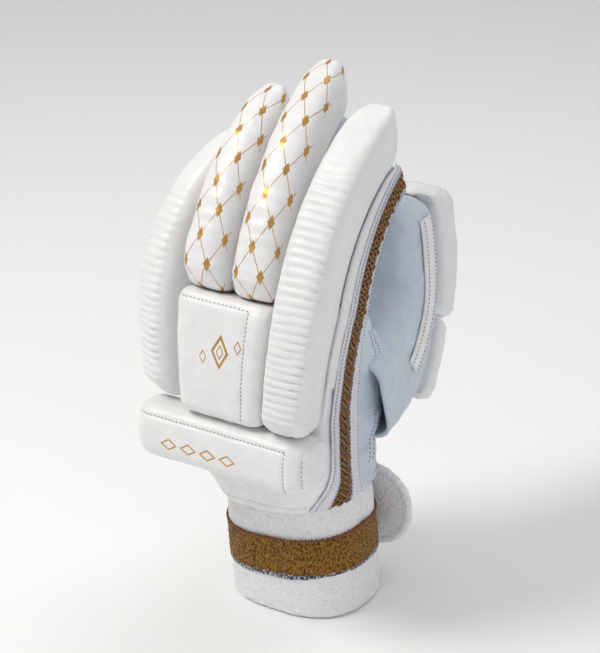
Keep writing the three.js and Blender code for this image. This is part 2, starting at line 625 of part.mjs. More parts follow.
// Depth of the mesh strip's middle line below the back: it moves up from mid-hand onto the finger,
// and there towards the roll.
function meshDepth(s) {
  const along = clamp01((s - RIM_S) / (KNUCKLE_REACH - RIM_S));
  const ease = along ** 2 * (3 - 2 * along);
  const drop = s > KNUCKLE_REACH ? 0 : archDrop(INDEX.place) * widthAt(s) * ease;
  const onFinger = lerp(STALL.rootDepth / 2, STRIP.tipDepth, pastKnuckle(INDEX, s));
  return lerp(STRIP.rimDepth, onFinger, ease) + drop;
}
// across runs over the mesh up to 1 either way, and beyond that over the elastic.
function stripPoint(s, across, lift) {
  const onFinger = clamp01((s - RIM_S) / (KNUCKLE_REACH - RIM_S) * 2 - 1);
  const tip = clamp01((s - KNUCKLE_REACH) / (INDEX.length - KNUCKLE_REACH));
  const atRim = across > 0 ? STRIP.backElastic : STRIP.palmElastic;
  const elastic = lerp(lerp(atRim, STRIP.fingerElastic, onFinger), STRIP.tipElastic, tip);
  const beyond = Math.max(0, Math.abs(across) - 1);
  const gap = beyond > 0 ? 2 * CLEARANCE : 0;
  const reach = Math.min(1, Math.abs(across)) * STRIP.mesh / 2 + gap + beyond * elastic;
  const depth = -meshDepth(s) + Math.sign(across) * reach;
  const x = sideFace(s, depth) + lift;
  if (s > KNUCKLE_REACH) return beside(SPINES.index(s), x, depth);
  return beside(handSpine(s), x, depth, handLift(s, x, depth));
}
const STRIP_LIFTS = [STRIP.lift + STRIP.thickness, STRIP.lift];
function stripGeometry(from, to) {
  const count = 12;
  const onFinger = Array.from({ length: count }, (_, i) => lerp(KNUCKLE_REACH, STRIP_END, (i + 1) / count));
  const stations = [STRIP_START, ...HAND_STATIONS.slice(1), ...onFinger];
  return sheet(...STRIP_LIFTS.map((lift) => stations
    .map((s) => [from, to].map((across) => stripPoint(s, across, lift)))));
}
// The net's rows are spaced so that one of them ends at the knuckles, where the strips pass from
// the hand to the finger.
function netGeometry() {
  const onHand = (KNUCKLE_REACH - STRIP_START) / (STRIP_END - STRIP_START);
  const knuckle = Math.round(NET.rows * onHand) / NET.rows;
  const stationAt = (u) => (u < knuckle + 1e-9 ? lerp(STRIP_START, KNUCKLE_REACH, u / knuckle)
    : lerp(KNUCKLE_REACH, STRIP_END, (u - knuckle) / (1 - knuckle)));
  const pointAt = (u, v, face) => stripPoint(stationAt(u), 2 * v - 1, STRIP_LIFTS[face]);
  return net(pointAt, NET.rows, NET.columns, NET.hole);
}
// The piped seam under an outer roll's outer edge.
function weltGeometry(finger) {
  const side = Math.sign(finger.place);
  const [start, end] = [WELT.radius, finger.length - ROLL.tipTaper];
  const count = 16;
  return loft(Array.from({ length: count + 1 }, (_, i) => {
    const s = lerp(start, end, i / count);
    const frame = SPINES[finger.name](s);
    const x = side * (widthAt(s) / 2 * slimAt(finger, s) + WELT.stand);
    return Array.from({ length: WELT.sides }, (_, k) => {
      const turn = k / WELT.sides * 2 * Math.PI;
      return beside(frame, x + WELT.radius * Math.cos(turn), WELT.height + WELT.radius * Math.sin(turn));
    });
  }));
}

// The worn-side patch on the heel of the palm, laid on the palm's outer face.
function patchGeometry() {
  const columns = 4;
  const grid = (lift) => PATCH.rows.map((row) => {
    const s = HAND_STATIONS[row];
    const at = handLimits(s);
    return Array.from({ length: columns + 1 }, (_, k) => {
      const x = at.left + at.lowRadius + lerp(PATCH.left, PATCH.right, k / columns);
      return handPoint(s, Math.min(x, at.right - at.lowRadius), at.low - lift);
    });
  });
  return sheet(grid(CLEARANCE + PATCH.thickness), grid(CLEARANCE));
}

// Thumb: its middle line bends up from the palm, and nail is the way its padded side faces.
const THUMB_CURVE = new THREE.CatmullRomCurve3(THUMB_ROWS.map(({ out, up, across }) => new THREE.Vector3(
  lerp(THUMB.baseX, THUMB.tipX, across), out * THUMB.out, THUMB.foot + up * THUMB.rise)));
function thumbFrame(t) {
  const along = THUMB_CURVE.getTangent(t);
  const out = new THREE.Vector3().crossVectors(along, new THREE.Vector3(1, 0, 0)).normalize();
  const place = t * (THUMB_ROWS.length - 1);
  const i = Math.min(THUMB_ROWS.length - 2, Math.floor(place));
  const [a, b] = [THUMB_ROWS[i], THUMB_ROWS[i + 1]];
  const tip = clamp01((t - 0.88) / 0.12);
  const shrink = Math.sqrt(1 - 0.6 * tip ** 2);
  return {
    point: THUMB_CURVE.getPoint(t),
    along,
    out,
    across: ACROSS,
    halfWidth: lerp(a.width, b.width, place - i) * FINGER_WIDTH / 2 * shrink,
    halfDepth: lerp(a.depth, b.depth, place - i) * FINGER_WIDTH / 2 * shrink,
  };
}
function thumbRing(t, inset) {
  const at = thumbFrame(t);
  const corner = 0.8 * Math.min(at.halfWidth, at.halfDepth) - inset;
  const [w, d] = [at.halfWidth - inset, at.halfDepth - inset];
  return roundBox(-w, w, -d, d, corner, corner).map(([x, n]) => beside(at, x, n));
}
const THUMB_STATIONS = [0, 0.14, 0.28, 0.42, 0.56, 0.7, 0.82, 0.9, 0.96, 1];
function thumbSock() {
  const inner = THUMB_STATIONS.slice(0, -1);
  return toSolid(loft([
    ...inner.toReversed().map((t) => thumbRing(t, LEATHER)),
    ...THUMB_STATIONS.map((t) => thumbRing(t, 0)),
  ]));
}
// The part of the thumb's leather on one side of the seam round its root: 1 is the tip's side.
function thumbPart(whole, side) {
  const { point, along } = thumbFrame(THUMB.seam);
  const away = along.multiplyScalar(side);
  return mainBody(whole.trimByPlane(away.toArray(), away.dot(point) + CLEARANCE / 2));
}
function thumbFilled(grow) {
  return toSolid(loft(THUMB_STATIONS.map((t) => thumbRing(t, -grow))));
}
// A padded bar on the thumb's nail side, between two shares of its length.
function thumbPad(from, to, thick, tipped) {
  const places = [0, 0.05, 0.16, 0.34, 0.5, 0.66, 0.84, 0.95, 1];
  return toSolid(loft(places.map((p) => {
    const t = lerp(from, to, p);
    const at = thumbFrame(t);
    const edge = Math.max(0, Math.abs(2 * p - 1) - 0.62) / 0.38;
    const size = 1 - (p > 0.5 && tipped ? 0.5 : 0.22) * edge ** 2.6;
    const width = THUMB.padWidth * lerp(1, 0.86, t) * (0.75 + 0.25 * size);
    return loaf(width, at.halfDepth + CLEARANCE, at.halfDepth + thick * size, 3, 5, 14)
      .map(([x, n]) => beside(at, x, n));
  })));
}
// The welted strip down the thumb's outer side, between its pads and its leather.
function thumbStrip() {
  const count = 12;
  const grid = (lift) => Array.from({ length: count + 1 }, (_, i) => {
    const at = thumbFrame(lerp(0.2, 0.93, i / count));
    const x = at.halfWidth + lift;
    return [0, 1].map((k) => beside(at, x, (k - 0.5) * THUMB.strip));
  });
  return toSolid(sheet(grid(CLEARANCE + LEATHER), grid(CLEARANCE)));
}

// The assembly
const glove = new THREE.Group();
glove.name = 'batting_glove';
function add(name, geometry, material, parent = glove) {
  const mesh = new THREE.Mesh(geometry, material);
  mesh.name = name;
  parent.add(mesh);
}

const wrist = new THREE.Group();
add('cuff', cuffGeometry(), COLOURS.towel, wrist);
add('cuff_band', bandGeometry(), COLOURS.band, wrist);
add('cuff_tab', tabGeometry(), COLOURS.towel, wrist);

const padding = new THREE.Group();
// Each finger but the middle one makes room for the next one towards the middle.
const NEXT = { little: RING, ring: MIDDLE, index: MIDDLE };
const rollStart = (finger) => (finger.outer ? 0 : PANEL.top + 2 * CLEARANCE);
for (const finger of FINGERS) {
  const next = NEXT[finger.name];
  let roll = toSolid(rollGeometry(finger, rollStart(finger)));
  if (next) {
    roll = roll.subtract(toSolid(rollGeometry(next, rollStart(next), CLEARANCE)))
      .subtract(stallFilled(next, -CLEARANCE, true));
  }
  const colour = finger.outer ? COLOURS.white : COLOURS.printed;
  add(`roll_${finger.name}`, toGeometry(mainBody(roll)), colour, padding);
}
add('back_panel', panelGeometry(), COLOURS.white, padding);
add('wrist_bar', barGeometry(), COLOURS.white, padding);

const shell = new THREE.Group();
for (const finger of FINGERS) {
  add(`stall_${finger.name}`, stallGeometry(finger, NEXT[finger.name]), COLOURS.palm, shell);
}
const thumbHole = thumbFilled(CLEARANCE);
const palmWall = toSolid(handPart(LEFT_SPLIT, RIGHT_SPLIT)).subtract(thumbHole);
add('hand_back', handPart(RIGHT_SPLIT, RIGHT_SPLIT + 1 + LEFT_SPLIT), COLOURS.white, shell);
add('palm', toGeometry(mainBody(palmWall)), COLOURS.palm, shell);
add('palm_patch', patchGeometry(), COLOURS.palm, shell);

const stripCutter = toSolid(sheet(...[STRIP_LIFTS[0] + CLEARANCE, -1].map((lift) => HAND_STATIONS
  .map((s) => [-2.1, 2.1].map((across) => stripPoint(s, across, lift))))));
const handCutter = handFilled(CLEARANCE).add(stripCutter);
const thumb = new THREE.Group();
const sock = thumbSock().subtract(handCutter);
add('thumb_stall', toGeometry(thumbPart(sock, 1)), COLOURS.palm, thumb);
add('thumb_gusset', toGeometry(thumbPart(sock, -1)), COLOURS.palm, thumb);
const padSplit = 0.46;
const padSeam = 0.006;
const basePad = thumbPad(0.2, padSplit - padSeam, THUMB.basePad, false).subtract(handCutter);
const tipPad = thumbPad(padSplit + padSeam, 1, THUMB.tipPad, true);
add('thumb_pad_base', toGeometry(mainBody(basePad)), COLOURS.white, thumb);
add('thumb_pad_tip', toGeometry(mainBody(tipPad)), COLOURS.white, thumb);
add('thumb_strip', toGeometry(mainBody(thumbStrip().subtract(handCutter))), COLOURS.white, thumb);

const sides = new THREE.Group();
add('side_mesh', netGeometry(), COLOURS.mesh, sides);
add('side_elastic_back', stripGeometry(1.001, 2), COLOURS.elastic, sides);
add('side_elastic_palm', stripGeometry(-2, -1.001), COLOURS.elastic, sides);
add('welt_index', weltGeometry(INDEX), COLOURS.white, sides);
add('welt_little', weltGeometry(LITTLE), COLOURS.white, sides);

glove.add(wrist, padding, shell, thumb, sides);

// The frame's origin is the middle of the glove's footprint box, on the floor.
const extent = new THREE.Box3().setFromObject(glove);
const middle = extent.getCenter(new THREE.Vector3());
const batting_glove = new THREE.Group();
glove.position.set(-middle.x, -middle.y, -extent.min.z);
batting_glove.add(glove);

export default batting_glove;
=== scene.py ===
# %% [markdown]
# # A cricket batting glove
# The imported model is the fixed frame: its solids say where every piece of the glove is. This
# notebook covers each solid with leather, towelling, elastic or net that looks sewn and stuffed.
# Every piece is measured in millimetres round the middle of the wrist, and is moved into the
# frame, in metres, when its mesh is made.

import math

import bpy
import numpy as np
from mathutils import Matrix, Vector, noise


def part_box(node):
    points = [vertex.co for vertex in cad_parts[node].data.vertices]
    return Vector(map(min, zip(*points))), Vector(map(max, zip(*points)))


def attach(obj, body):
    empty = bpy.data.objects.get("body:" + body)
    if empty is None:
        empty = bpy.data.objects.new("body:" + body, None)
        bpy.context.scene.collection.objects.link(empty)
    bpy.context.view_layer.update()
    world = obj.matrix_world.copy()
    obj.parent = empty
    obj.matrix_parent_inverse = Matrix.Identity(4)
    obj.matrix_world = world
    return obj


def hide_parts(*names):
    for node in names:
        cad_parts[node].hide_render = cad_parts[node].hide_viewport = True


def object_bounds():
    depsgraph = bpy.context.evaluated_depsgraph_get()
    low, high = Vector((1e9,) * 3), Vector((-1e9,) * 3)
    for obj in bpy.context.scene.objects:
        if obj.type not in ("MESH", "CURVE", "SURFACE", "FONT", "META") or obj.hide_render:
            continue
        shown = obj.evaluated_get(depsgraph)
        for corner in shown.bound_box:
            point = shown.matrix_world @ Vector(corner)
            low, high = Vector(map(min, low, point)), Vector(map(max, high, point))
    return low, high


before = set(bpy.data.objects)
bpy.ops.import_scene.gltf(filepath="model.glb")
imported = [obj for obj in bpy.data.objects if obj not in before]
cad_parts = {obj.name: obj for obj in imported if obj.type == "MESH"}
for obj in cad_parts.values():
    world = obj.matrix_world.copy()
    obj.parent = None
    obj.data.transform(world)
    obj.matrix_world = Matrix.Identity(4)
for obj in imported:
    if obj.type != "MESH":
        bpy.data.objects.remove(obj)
cad_low, cad_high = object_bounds()
print("frame", [round(x, 4) for x in (*cad_low, *cad_high)])

# %% [markdown]
# ## The measures that the pieces share
# The hand, the finger paths and the thumb follow the same named sizes as the solids, so that a
# cover made from them lies on its solid with no fitting.

# %% Measures of the glove
CLEARANCE, LEATHER = 0.4, 2.2
FINGER_WIDTH, FOOT_WIDTH, FINGER_LENGTH = 28.0, 0.87, 183.0
HAND_SHIFT, HAND_DEPTH, BACK_OFFSET = -12.0, 80.0, 44.0
RIM_HEIGHT, ROLL_FOOT = 62.0, 127.0
RIM_RISE = {"height": 6, "depth": 35, "until": 0.3}
KNUCKLE_REACH, KNUCKLE_ANGLE, KNUCKLE_POWER = 62.0, 15.0, 1.8
ARCH = {"little": 30, "index": 4, "power": 2.3, "reach": 1.5}
CUFF = {"width": 78, "depth": 68, "height": 74, "wall": 5, "corner": 31, "lean": -6, "flare": 1.5,
        "slope": 0.1}
BAND = {"bottom": 23, "height": 24, "wall": 1.9, "proud": 0.6}
TAB = {"length": 64, "height": 50, "bottom": 14, "thickness": 4, "start": -18, "corner": 23}
ROLL = {"outer": 30, "inner": 27, "tip": 17, "foot": 7}
RIB = {"pitch": 3.7, "relief": 1.6, "foot": 12, "tip_clear": 34, "fade": 26}
STALL = {"root": 32, "tip": 23, "tip_width": 21.5, "corner": 6, "foot_corner": 11,
         "tip_short": 7, "tip_round": 8, "upright": 0.75}
PANEL = {"foot": 1, "depth": 25, "top": 62, "corner": 6}
BAR = {"width": 101, "height": 31, "depth": 27, "gap": 1, "middle": -13, "end": 12,
       "thumb_end": 3.5}
STRIP = {"mesh": 9.5, "back": 6, "palm": 10, "finger": 4, "tip": 2, "rim": 22, "tip_depth": 9,
         "lift": 0.7, "thickness": 1.6, "tip_short": 10, "first_station": 1 / 12}
THUMB = {"out": 64, "rise": 115, "foot": 100, "base_x": 27, "tip_x": 19, "tip_pad": 24,
         "base_pad": 15, "pad_width": 38, "strip": 11, "split": 0.46}
FINGERS = {
    "little": dict(place=-1.42, share=0.743, curl=69, slim=0.78, deep=0.8, splay=3, outer=True,
                   fill=0.9, square=3.0),
    "ring": dict(place=-0.50, share=0.885, curl=70, slim=0.84, deep=1, splay=-4, outer=False),
    "middle": dict(place=0.49, share=1.0, curl=75, slim=0.86, deep=1, splay=-5, outer=False),
    "index": dict(place=1.49, share=0.869, curl=74, slim=0.92, deep=1, splay=8, outer=True,
                  square=4.0),
}
for finger_name, finger in FINGERS.items():
    finger.update(name=finger_name, length=finger["share"] * FINGER_LENGTH)
# Sections of the hand from its rim, 0, to the knuckles, 1: swell goes from the cuff's size to the
# hand's, depth is a share of the hand's depth and round is a share of a finger's width.
HAND_ROWS = {
    "along": [0, 0.08, 0.17, 0.30, 0.42, 0.60, 0.74, 0.87, 1],
    "swell": [0, 0.25, 0.55, 0.88, 1, 1, 1, 1, 1],
    "depth": [1, 1, 1.01, 1.01, 1, 0.96, 0.86, 0.66, 0.42],
    "round": [0.90, 0.92, 0.90, 0.84, 0.78, 0.74, 0.70, 0.56, 0.34],
}
# Sections of the thumb from root to tip: shares of its reach, and of half a finger's width.
THUMB_ROWS = {
    "out": [0.06, 0.57, 0.84, 0.97, 1, 1],
    "up": [0.15, 0.26, 0.44, 0.58, 0.78, 0.98],
    "across": [0, 0.10, 0.30, 0.55, 0.80, 1],
    "width": [1.30, 1.34, 1.36, 1.32, 1.26, 1.15],
    "depth": [2.05, 2.12, 1.74, 1.46, 1.33, 1.14],
}
cuff_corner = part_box("cuff")[0]
CUFF_LOW = Vector((CUFF["lean"] * 0.7 - CUFF["width"] / 2, -CUFF["depth"] / 2 - CUFF["flare"], 0))
SHIFT = np.array(cuff_corner * 1000 - CUFF_LOW)
print("shift", SHIFT.round(2))

# %% [markdown]
# ## Paths of the fingers
# A finger's path runs between its padded roll and its leather stall. It goes straight up the
# back of the hand, bends a little at the knuckles and then curls on to its tip.

# %% Finger paths
def lerp(a, b, t):
    return a + (b - a) * t


def share(value, low, high):
    return np.clip((value - low) / (high - low), 0, 1)


def ease(t):
    t = np.clip(t, 0, 1)
    return t * t * (3 - 2 * t)


def unit(v):
    return v / np.maximum(np.linalg.norm(v, axis=-1, keepdims=True), 1e-9)


def width_at(s):
    return FINGER_WIDTH * lerp(FOOT_WIDTH, 1, share(s, 0, KNUCKLE_REACH))


def arch_steepness(x):
    return np.tan(np.radians(np.where(x < 0, ARCH["little"], ARCH["index"])))


def arch_slope(x):
    return -np.sign(x) * arch_steepness(x) * (np.abs(x) / ARCH["reach"]) ** (ARCH["power"] - 1)


def arch_drop(x):
    reach, power = ARCH["reach"], ARCH["power"]
    return arch_steepness(x) * reach / power * (np.abs(x) / reach) ** power


def bend_at(finger, s):
    whole = finger["length"] - KNUCKLE_REACH
    onward = np.maximum(s - KNUCKLE_REACH, 0)
    slope = KNUCKLE_POWER * KNUCKLE_ANGLE / KNUCKLE_REACH
    rise = (finger["curl"] - KNUCKLE_ANGLE - slope * whole) / whole ** 2
    knuckle = KNUCKLE_ANGLE * share(s, 0, KNUCKLE_REACH) ** KNUCKLE_POWER
    return np.radians(knuckle + slope * onward + rise * onward ** 2)


def path_of(finger):
    turn = math.atan(arch_slope(finger["place"]))

    def turned(s):
        knuckle = bend_at(finger, np.minimum(s, KNUCKLE_REACH))[:, None]
        zero = np.zeros_like(knuckle)
        along = np.hstack([zero, np.sin(knuckle), np.cos(knuckle)])
        level = np.hstack([zero, -np.cos(knuckle), np.sin(knuckle)])
        side = np.array([1.0, 0, 0])
        across = side * math.cos(turn) + level * math.sin(turn)
        out = level * math.cos(turn) - side * math.sin(turn)
        curled = bend_at(finger, s)[:, None] - knuckle
        return {
            "along": along * np.cos(curled) - out * np.sin(curled),
            "out": out * np.cos(curled) + along * np.sin(curled),
            "across": across,
            "level": knuckle[:, 0],
        }

    count = math.ceil(finger["length"] + STALL["root"])
    steps = turned(np.arange(count) + 0.5)["along"]
    points = np.vstack([[0, -BACK_OFFSET, ROLL_FOOT], steps]).cumsum(axis=0)

    def frames(s):
        s = np.atleast_1d(np.asarray(s, float))
        made = turned(s)
        i = np.clip(np.floor(s).astype(int), 0, count)
        width = width_at(s)
        drop = arch_drop(finger["place"]) * width
        reach = share(s, KNUCKLE_REACH, finger["length"])
        point = points[i] + made["along"] * (s - i)[:, None]
        point[:, 0] += HAND_SHIFT + finger["place"] * width + finger["splay"] * reach ** 1.5
        point[:, 1] += drop * np.cos(made["level"])
        point[:, 2] -= drop * np.sin(made["level"])
        made["point"] = point
        return made

    return frames


PATHS = {name: path_of(finger) for name, finger in FINGERS.items()}
hand_path = path_of({**FINGERS["middle"], "place": 0.0, "splay": 0.0})


def beside(frames, x, n):
    """Points beside a path: x across it and n out of the back, one row for each place on it."""
    spread = [np.broadcast_to(np.asarray(a, float), np.broadcast(x, n).shape)[..., None] for a in (x, n)]
    base = [frames[key][:, None, :] for key in ("point", "across", "out")]
    return base[0] + base[1] * spread[0] + base[2] * spread[1]


# %% [markdown]
# ## Outlines
# Pads are crowned on top and flatter below, so their sections are superellipses. The hand and
# the stalls are boxes with round corners.

# %% Outlines of the sections
def column(a):
    return np.atleast_1d(np.asarray(a, float))[:, None]


def loaf(width, low, high, top_power, low_power, sides):
    turn = (np.arange(sides) + 0.5) / sides * 2 * np.pi
    c, s = np.cos(turn)[None, :], np.sin(turn)[None, :]
    width, low, high = column(width), column(low), column(high)
    power = 2 / np.where(s > 0, top_power, low_power)
    middle = lerp(low, high, 0.42)
    x = width / 2 * np.sign(c) * np.abs(c) ** power
    n = middle + np.where(s > 0, high - middle, middle - low) * np.sign(s) * np.abs(s) ** power
    return x, n


def round_box(left, right, low, high, low_radius, high_radius, steps, between):
    left, right, low, high = column(left), column(right), column(low), column(high)
    most = 0.49 * np.minimum(right - left, high - low)
    rl, rh = np.minimum(column(low_radius), most), np.minimum(column(high_radius), most)
    corners = [(right - rh, high - rh, rh, 0), (left + rh, high - rh, rh, 90),
               (left + rl, low + rl, rl, 180), (right - rl, low + rl, rl, 270)]
    arcs = []
    for x, n, r, start in corners:
        turn = np.radians(start + 90 * np.arange(steps + 1) / steps)[None, :]
        arcs.append((x + r * np.cos(turn), n + r * np.sin(turn)))
    xs, ns = [], []
    for k, (x, n) in enumerate(arcs):
        to_x, to_n = arcs[(k + 1) % 4][0][:, :1], arcs[(k + 1) % 4][1][:, :1]
        t = (np.arange(between) + 1)[None, :] / (between + 1)
        xs += [x, lerp(x[:, -1:], to_x, t)]
        ns += [n, lerp(n[:, -1:], to_n, t)]
    return np.hstack(xs), np.hstack(ns)


# %% [markdown]
# ## Making a skin
# Each piece is a grid of points: rows along it and columns round it. Its relief, such as ribs,
# puckers and sunk seams, moves the points along the surface's own normals. The mesh keeps where
# each point lies on the flat leather, in millimetres, as its UV map.

# %% Skins, walls and relief
SEED_STEP, NOISE_GAIN = 7.31, 1.6       # how far one seed's noise lies from the next, and its scale


def normals_of(points, wrap_columns=True, wrap_rows=False):
    along, around = (np.roll(points, -1, axis) - np.roll(points, 1, axis) if wrap
                     else np.gradient(points, axis=axis)
                     for axis, wrap in ((0, wrap_rows), (1, wrap_columns)))
    return unit(np.cross(along, around))


def noise_at(points):
    return np.array([noise.noise(Vector(p)) for p in points.reshape(-1, 3)]).reshape(points.shape[:-1])


def rumple(points, size, seed=0.0, stretch=(1, 1, 1)):
    """Smooth noise between about -1 and 1, with features of that size in millimetres."""
    return noise_at(points / (np.array(stretch) * size) + seed * SEED_STEP) * NOISE_GAIN


def facing(normals, way, low, high):
    """1 where the surface faces that way, 0 where it faces away, with a soft change between."""
    return ease(share((normals * way[:, None, :]).sum(axis=-1), low, high))


def lengths(line):
    return np.r_[0, np.linalg.norm(np.diff(line, axis=0), axis=1).cumsum()]


def round_lengths(line):
    """Lengths along a closed line, with 1 mm for the step back to its start."""
    along = lengths(line)
    return np.r_[along, along[-1] + 1]


def make_mesh(name, points, faces, uvs, material):
    mesh = bpy.data.meshes.new(name)
    mesh.from_pydata([tuple(p) for p in (points + SHIFT) / 1000], [], faces)
    if uvs is not None:
        layer = mesh.uv_layers.new(name="lay")
        layer.data.foreach_set("uv", np.asarray(uvs, np.float32).ravel())
    mesh.polygons.foreach_set("use_smooth", [True] * len(mesh.polygons))
    mesh.materials.append(material)
    mesh.update()
    made = bpy.data.objects.new(name, mesh)
    bpy.context.scene.collection.objects.link(made)
    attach(made, "root")
    print(f"{name}: {len(points)} points, {len(faces)} faces")
    return made


def grid_faces(shape, u, v, wrap_rows=False):
    """The quads of a grid that is closed round its columns, and the flat places of their corners."""
    rows, columns = shape
    i = np.arange(rows if wrap_rows else rows - 1)[:, None]
    k = np.arange(columns)[None, :]
    ni, nk = (i + 1) % rows, (k + 1) % columns
    corners = np.broadcast_arrays(i * columns + k, ni * columns + k, ni * columns + nk, i * columns + nk)
    lay = [(u[k], v[i]), (u[k], v[i + 1]), (u[k + 1], v[i + 1]), (u[k + 1], v[i])]
    uvs = np.stack([np.stack(np.broadcast_arrays(*place), -1) for place in lay], axis=-2)
    return np.stack(corners, axis=-1).reshape(-1, 4).tolist(), uvs.reshape(-1, 2).tolist()


def skin(name, points, u, v, material, wrap_rows=False):
    """A skin over a grid that is closed round its columns, with a fan over each open end."""
    rows, columns = points.shape[:2]
    faces, uvs = grid_faces((rows, columns), u, v, wrap_rows)
    flat = points.reshape(-1, 3)
    for row, order in () if wrap_rows else ((0, 1), (rows - 1, -1)):
        hub = len(flat)
        flat = np.vstack([flat, points[row].mean(axis=0)])
        for c in range(columns):
            pair = [row * columns + c, row * columns + (c + 1) % columns][::order]
            faces.append([*pair, hub])
            uvs += [*[(u[c], v[row]), (u[c + 1], v[row])][::order], ((u[c] + u[c + 1]) / 2, v[row])]
    return make_mesh(name, flat, faces, uvs, material)


def wall_rings(outer, inner):
    """Joins an outer and an inner grid into closed rings with rounded edges."""
    def edge(a, b, before):
        away = unit(a - before) * np.linalg.norm(a - b, axis=-1, keepdims=True) * 0.35
        crest = (a + b) / 2 + away
        return [lerp(a, crest, 0.7), crest, lerp(b, crest, 0.7)]
    first = edge(inner[:, 0], outer[:, 0], inner[:, 1])
    last = edge(outer[:, -1], inner[:, -1], outer[:, -2])
    return np.stack([*first, *np.moveaxis(outer, 1, 0), *last, *np.moveaxis(inner, 1, 0)[::-1]], axis=1)


def wall(name, outer, inner, material, slot):
    """A sheet with a thickness: its outer and inner grids, closed all round."""
    rings = wall_rings(outer, inner)
    rows, columns = rings.shape[:2]
    along = lengths(rings[rows // 2])
    faces, uvs = grid_faces((rows, columns), np.r_[along, along[-1] + LEATHER] - 3,
                            lengths(outer[:, outer.shape[1] // 2]))
    half = outer.shape[1] + 3
    for row, order in ((0, 1), (rows - 1, -1)):
        ring = [row * columns + (c + 1) % columns for c in range(columns)]
        left, right = ring[:half], ring[:half - 1:-1]
        for a in range(min(len(left), len(right)) - 1):
            quad = [left[a], left[a + 1], right[a + 1], right[a]]
            if len(set(quad)) == 4:
                faces.append(quad[::order])
                uvs += [(0, 0)] * 4
    return make_mesh(name, rings.reshape(-1, 3), faces, uvs, material)


def trace(grid, rows, columns):
    """Reads a grid at fractional rows and columns, with a blend between its points."""
    rows, columns = np.broadcast_arrays(np.asarray(rows, float), np.asarray(columns, float))
    i = np.clip(np.floor(rows).astype(int), 0, grid.shape[0] - 2)
    k = np.clip(np.floor(columns).astype(int), 0, grid.shape[1] - 2)
    a, b = (rows - i)[:, None], (columns - k)[:, None]
    return lerp(lerp(grid[i, k], grid[i + 1, k], a), lerp(grid[i, k + 1], grid[i + 1, k + 1], a), b)


def groove(distance, depth, width):
    """A sunk seam: a narrow valley with a soft swelling on both sides of it."""
    return -depth * np.exp(-(distance / width) ** 2) + 0.25 * depth * np.exp(-(distance / (3 * width)) ** 2)


# %% [markdown]
# ## Thread
# A seam is a row of separate stitches, each a short thread that dips into the leather at both
# ends. The real thread is about 0.4 mm thick with eight or nine stitches to 20 mm.

# %% Rows of stitches
STITCH = {  # five rings along a stitch: how high, how far along and how thick each is
    "lift": [-0.9, 0.25, 0.75, 0.25, -0.9],
    "reach": [-0.5, -0.36, 0, 0.36, 0.5],
    "thick": [0.35, 0.9, 1, 0.9, 0.35],
}
THREAD_SIDES = 6


def read_at(places, along, values):
    return np.stack([np.interp(places, along, values[:, a]) for a in range(3)], axis=1)


def circle(sides, side, up):
    turn = np.arange(sides) / sides * 2 * np.pi
    return side[..., None, :] * np.cos(turn)[:, None] + up[..., None, :] * np.sin(turn)[:, None]


def sew(name, seams, material, pitch=2.3, size=1.5, radius=0.27):
    """One piece of many stitches. seams is a list of (line of points, their normals)."""
    lift, reach, thick = (np.array(STITCH[key])[None, :, None] for key in ("lift", "reach", "thick"))
    every = []
    for line, normals in seams:
        along = lengths(line)
        count = max(1, int(along[-1] / pitch))
        places = (np.arange(count) + 0.5) * along[-1] / count
        tangent = unit(read_at(places, along, np.gradient(line, along, axis=0)))
        up = unit(read_at(places, along, normals))
        ring = circle(THREAD_SIDES, unit(np.cross(tangent, up)), up)[:, None] * radius * thick[..., None]
        spine = (read_at(places, along, line)[:, None, :] + tangent[:, None, :] * (reach * size)
                 + up[:, None, :] * (lift * radius))
        every.append((spine[:, :, None, :] + ring).reshape(-1, 5 * THREAD_SIDES, 3))
    points = np.vstack(every)
    faces, n = [], THREAD_SIDES
    for at in range(0, len(points) * 5 * n, 5 * n):
        for r in range(4):
            for k in range(n):
                a, b = at + r * n + k, at + r * n + (k + 1) % n
                faces.append([a, b, b + n, a + n])
        faces += [[at + k for k in range(n - 1, -1, -1)], [at + 4 * n + k for k in range(n)]]
    return make_mesh(name, points.reshape(-1, 3), faces, None, material)


def tube(points, radius, sides=8, taper=0.0):
    """A grid of rings round a line of points."""
    tangent = unit(np.gradient(points, axis=0))
    side = unit(np.cross(tangent, np.array([0.31, -0.9, 0.3])))
    up = np.cross(side, tangent)
    turn = np.arange(sides) / sides * 2 * np.pi
    t = np.linspace(-1, 1, len(points))
    size = np.asarray(radius) * np.sqrt(np.maximum(1 - taper * np.abs(t) ** 8, 0.02))
    ring = side[:, None, :] * np.cos(turn)[None, :, None] - up[:, None, :] * np.sin(turn)[None, :, None]
    return points[:, None, :] + ring * np.broadcast_to(size, len(points))[:, None, None]


# %% [markdown]
# ## Finishes
# The glove is white coated leather, softer bluish leather on the palm side, cotton towelling,
# knitted elastic, a brown sports net and a thin gold foil print. Each colour is a hex value as
# it looks on a screen, and is turned to linear light for the shader.

# %% Colour and nodes
def linear(code):
    channels = [int(code[i:i + 2], 16) / 255 for i in (1, 3, 5)]
    return [c / 12.92 if c <= 0.04045 else ((c + 0.055) / 1.055) ** 2.4 for c in channels] + [1.0]


def add_node(tree, kind, settings=None, links=None, **named_links):
    """Adds a node. Settings are its properties or its inputs, links join its inputs to outputs."""
    made = tree.nodes.new(kind)
    for key, value in (settings or {}).items():
        if isinstance(key, str) and hasattr(made, key):
            setattr(made, key, value)
        else:
            made.inputs[key].default_value = value
    for key, output in {**(links or {}), **named_links}.items():
        tree.links.new(output, made.inputs[key])
    return made


def new_finish(name, **settings):
    finish = bpy.data.materials.new(name)
    finish.use_nodes = True
    tree = finish.node_tree
    shader = tree.nodes["Principled BSDF"]
    for key, value in settings.items():
        shader.inputs[key.replace("_", " ")].default_value = value
    print("finish", name)
    return finish, tree, shader


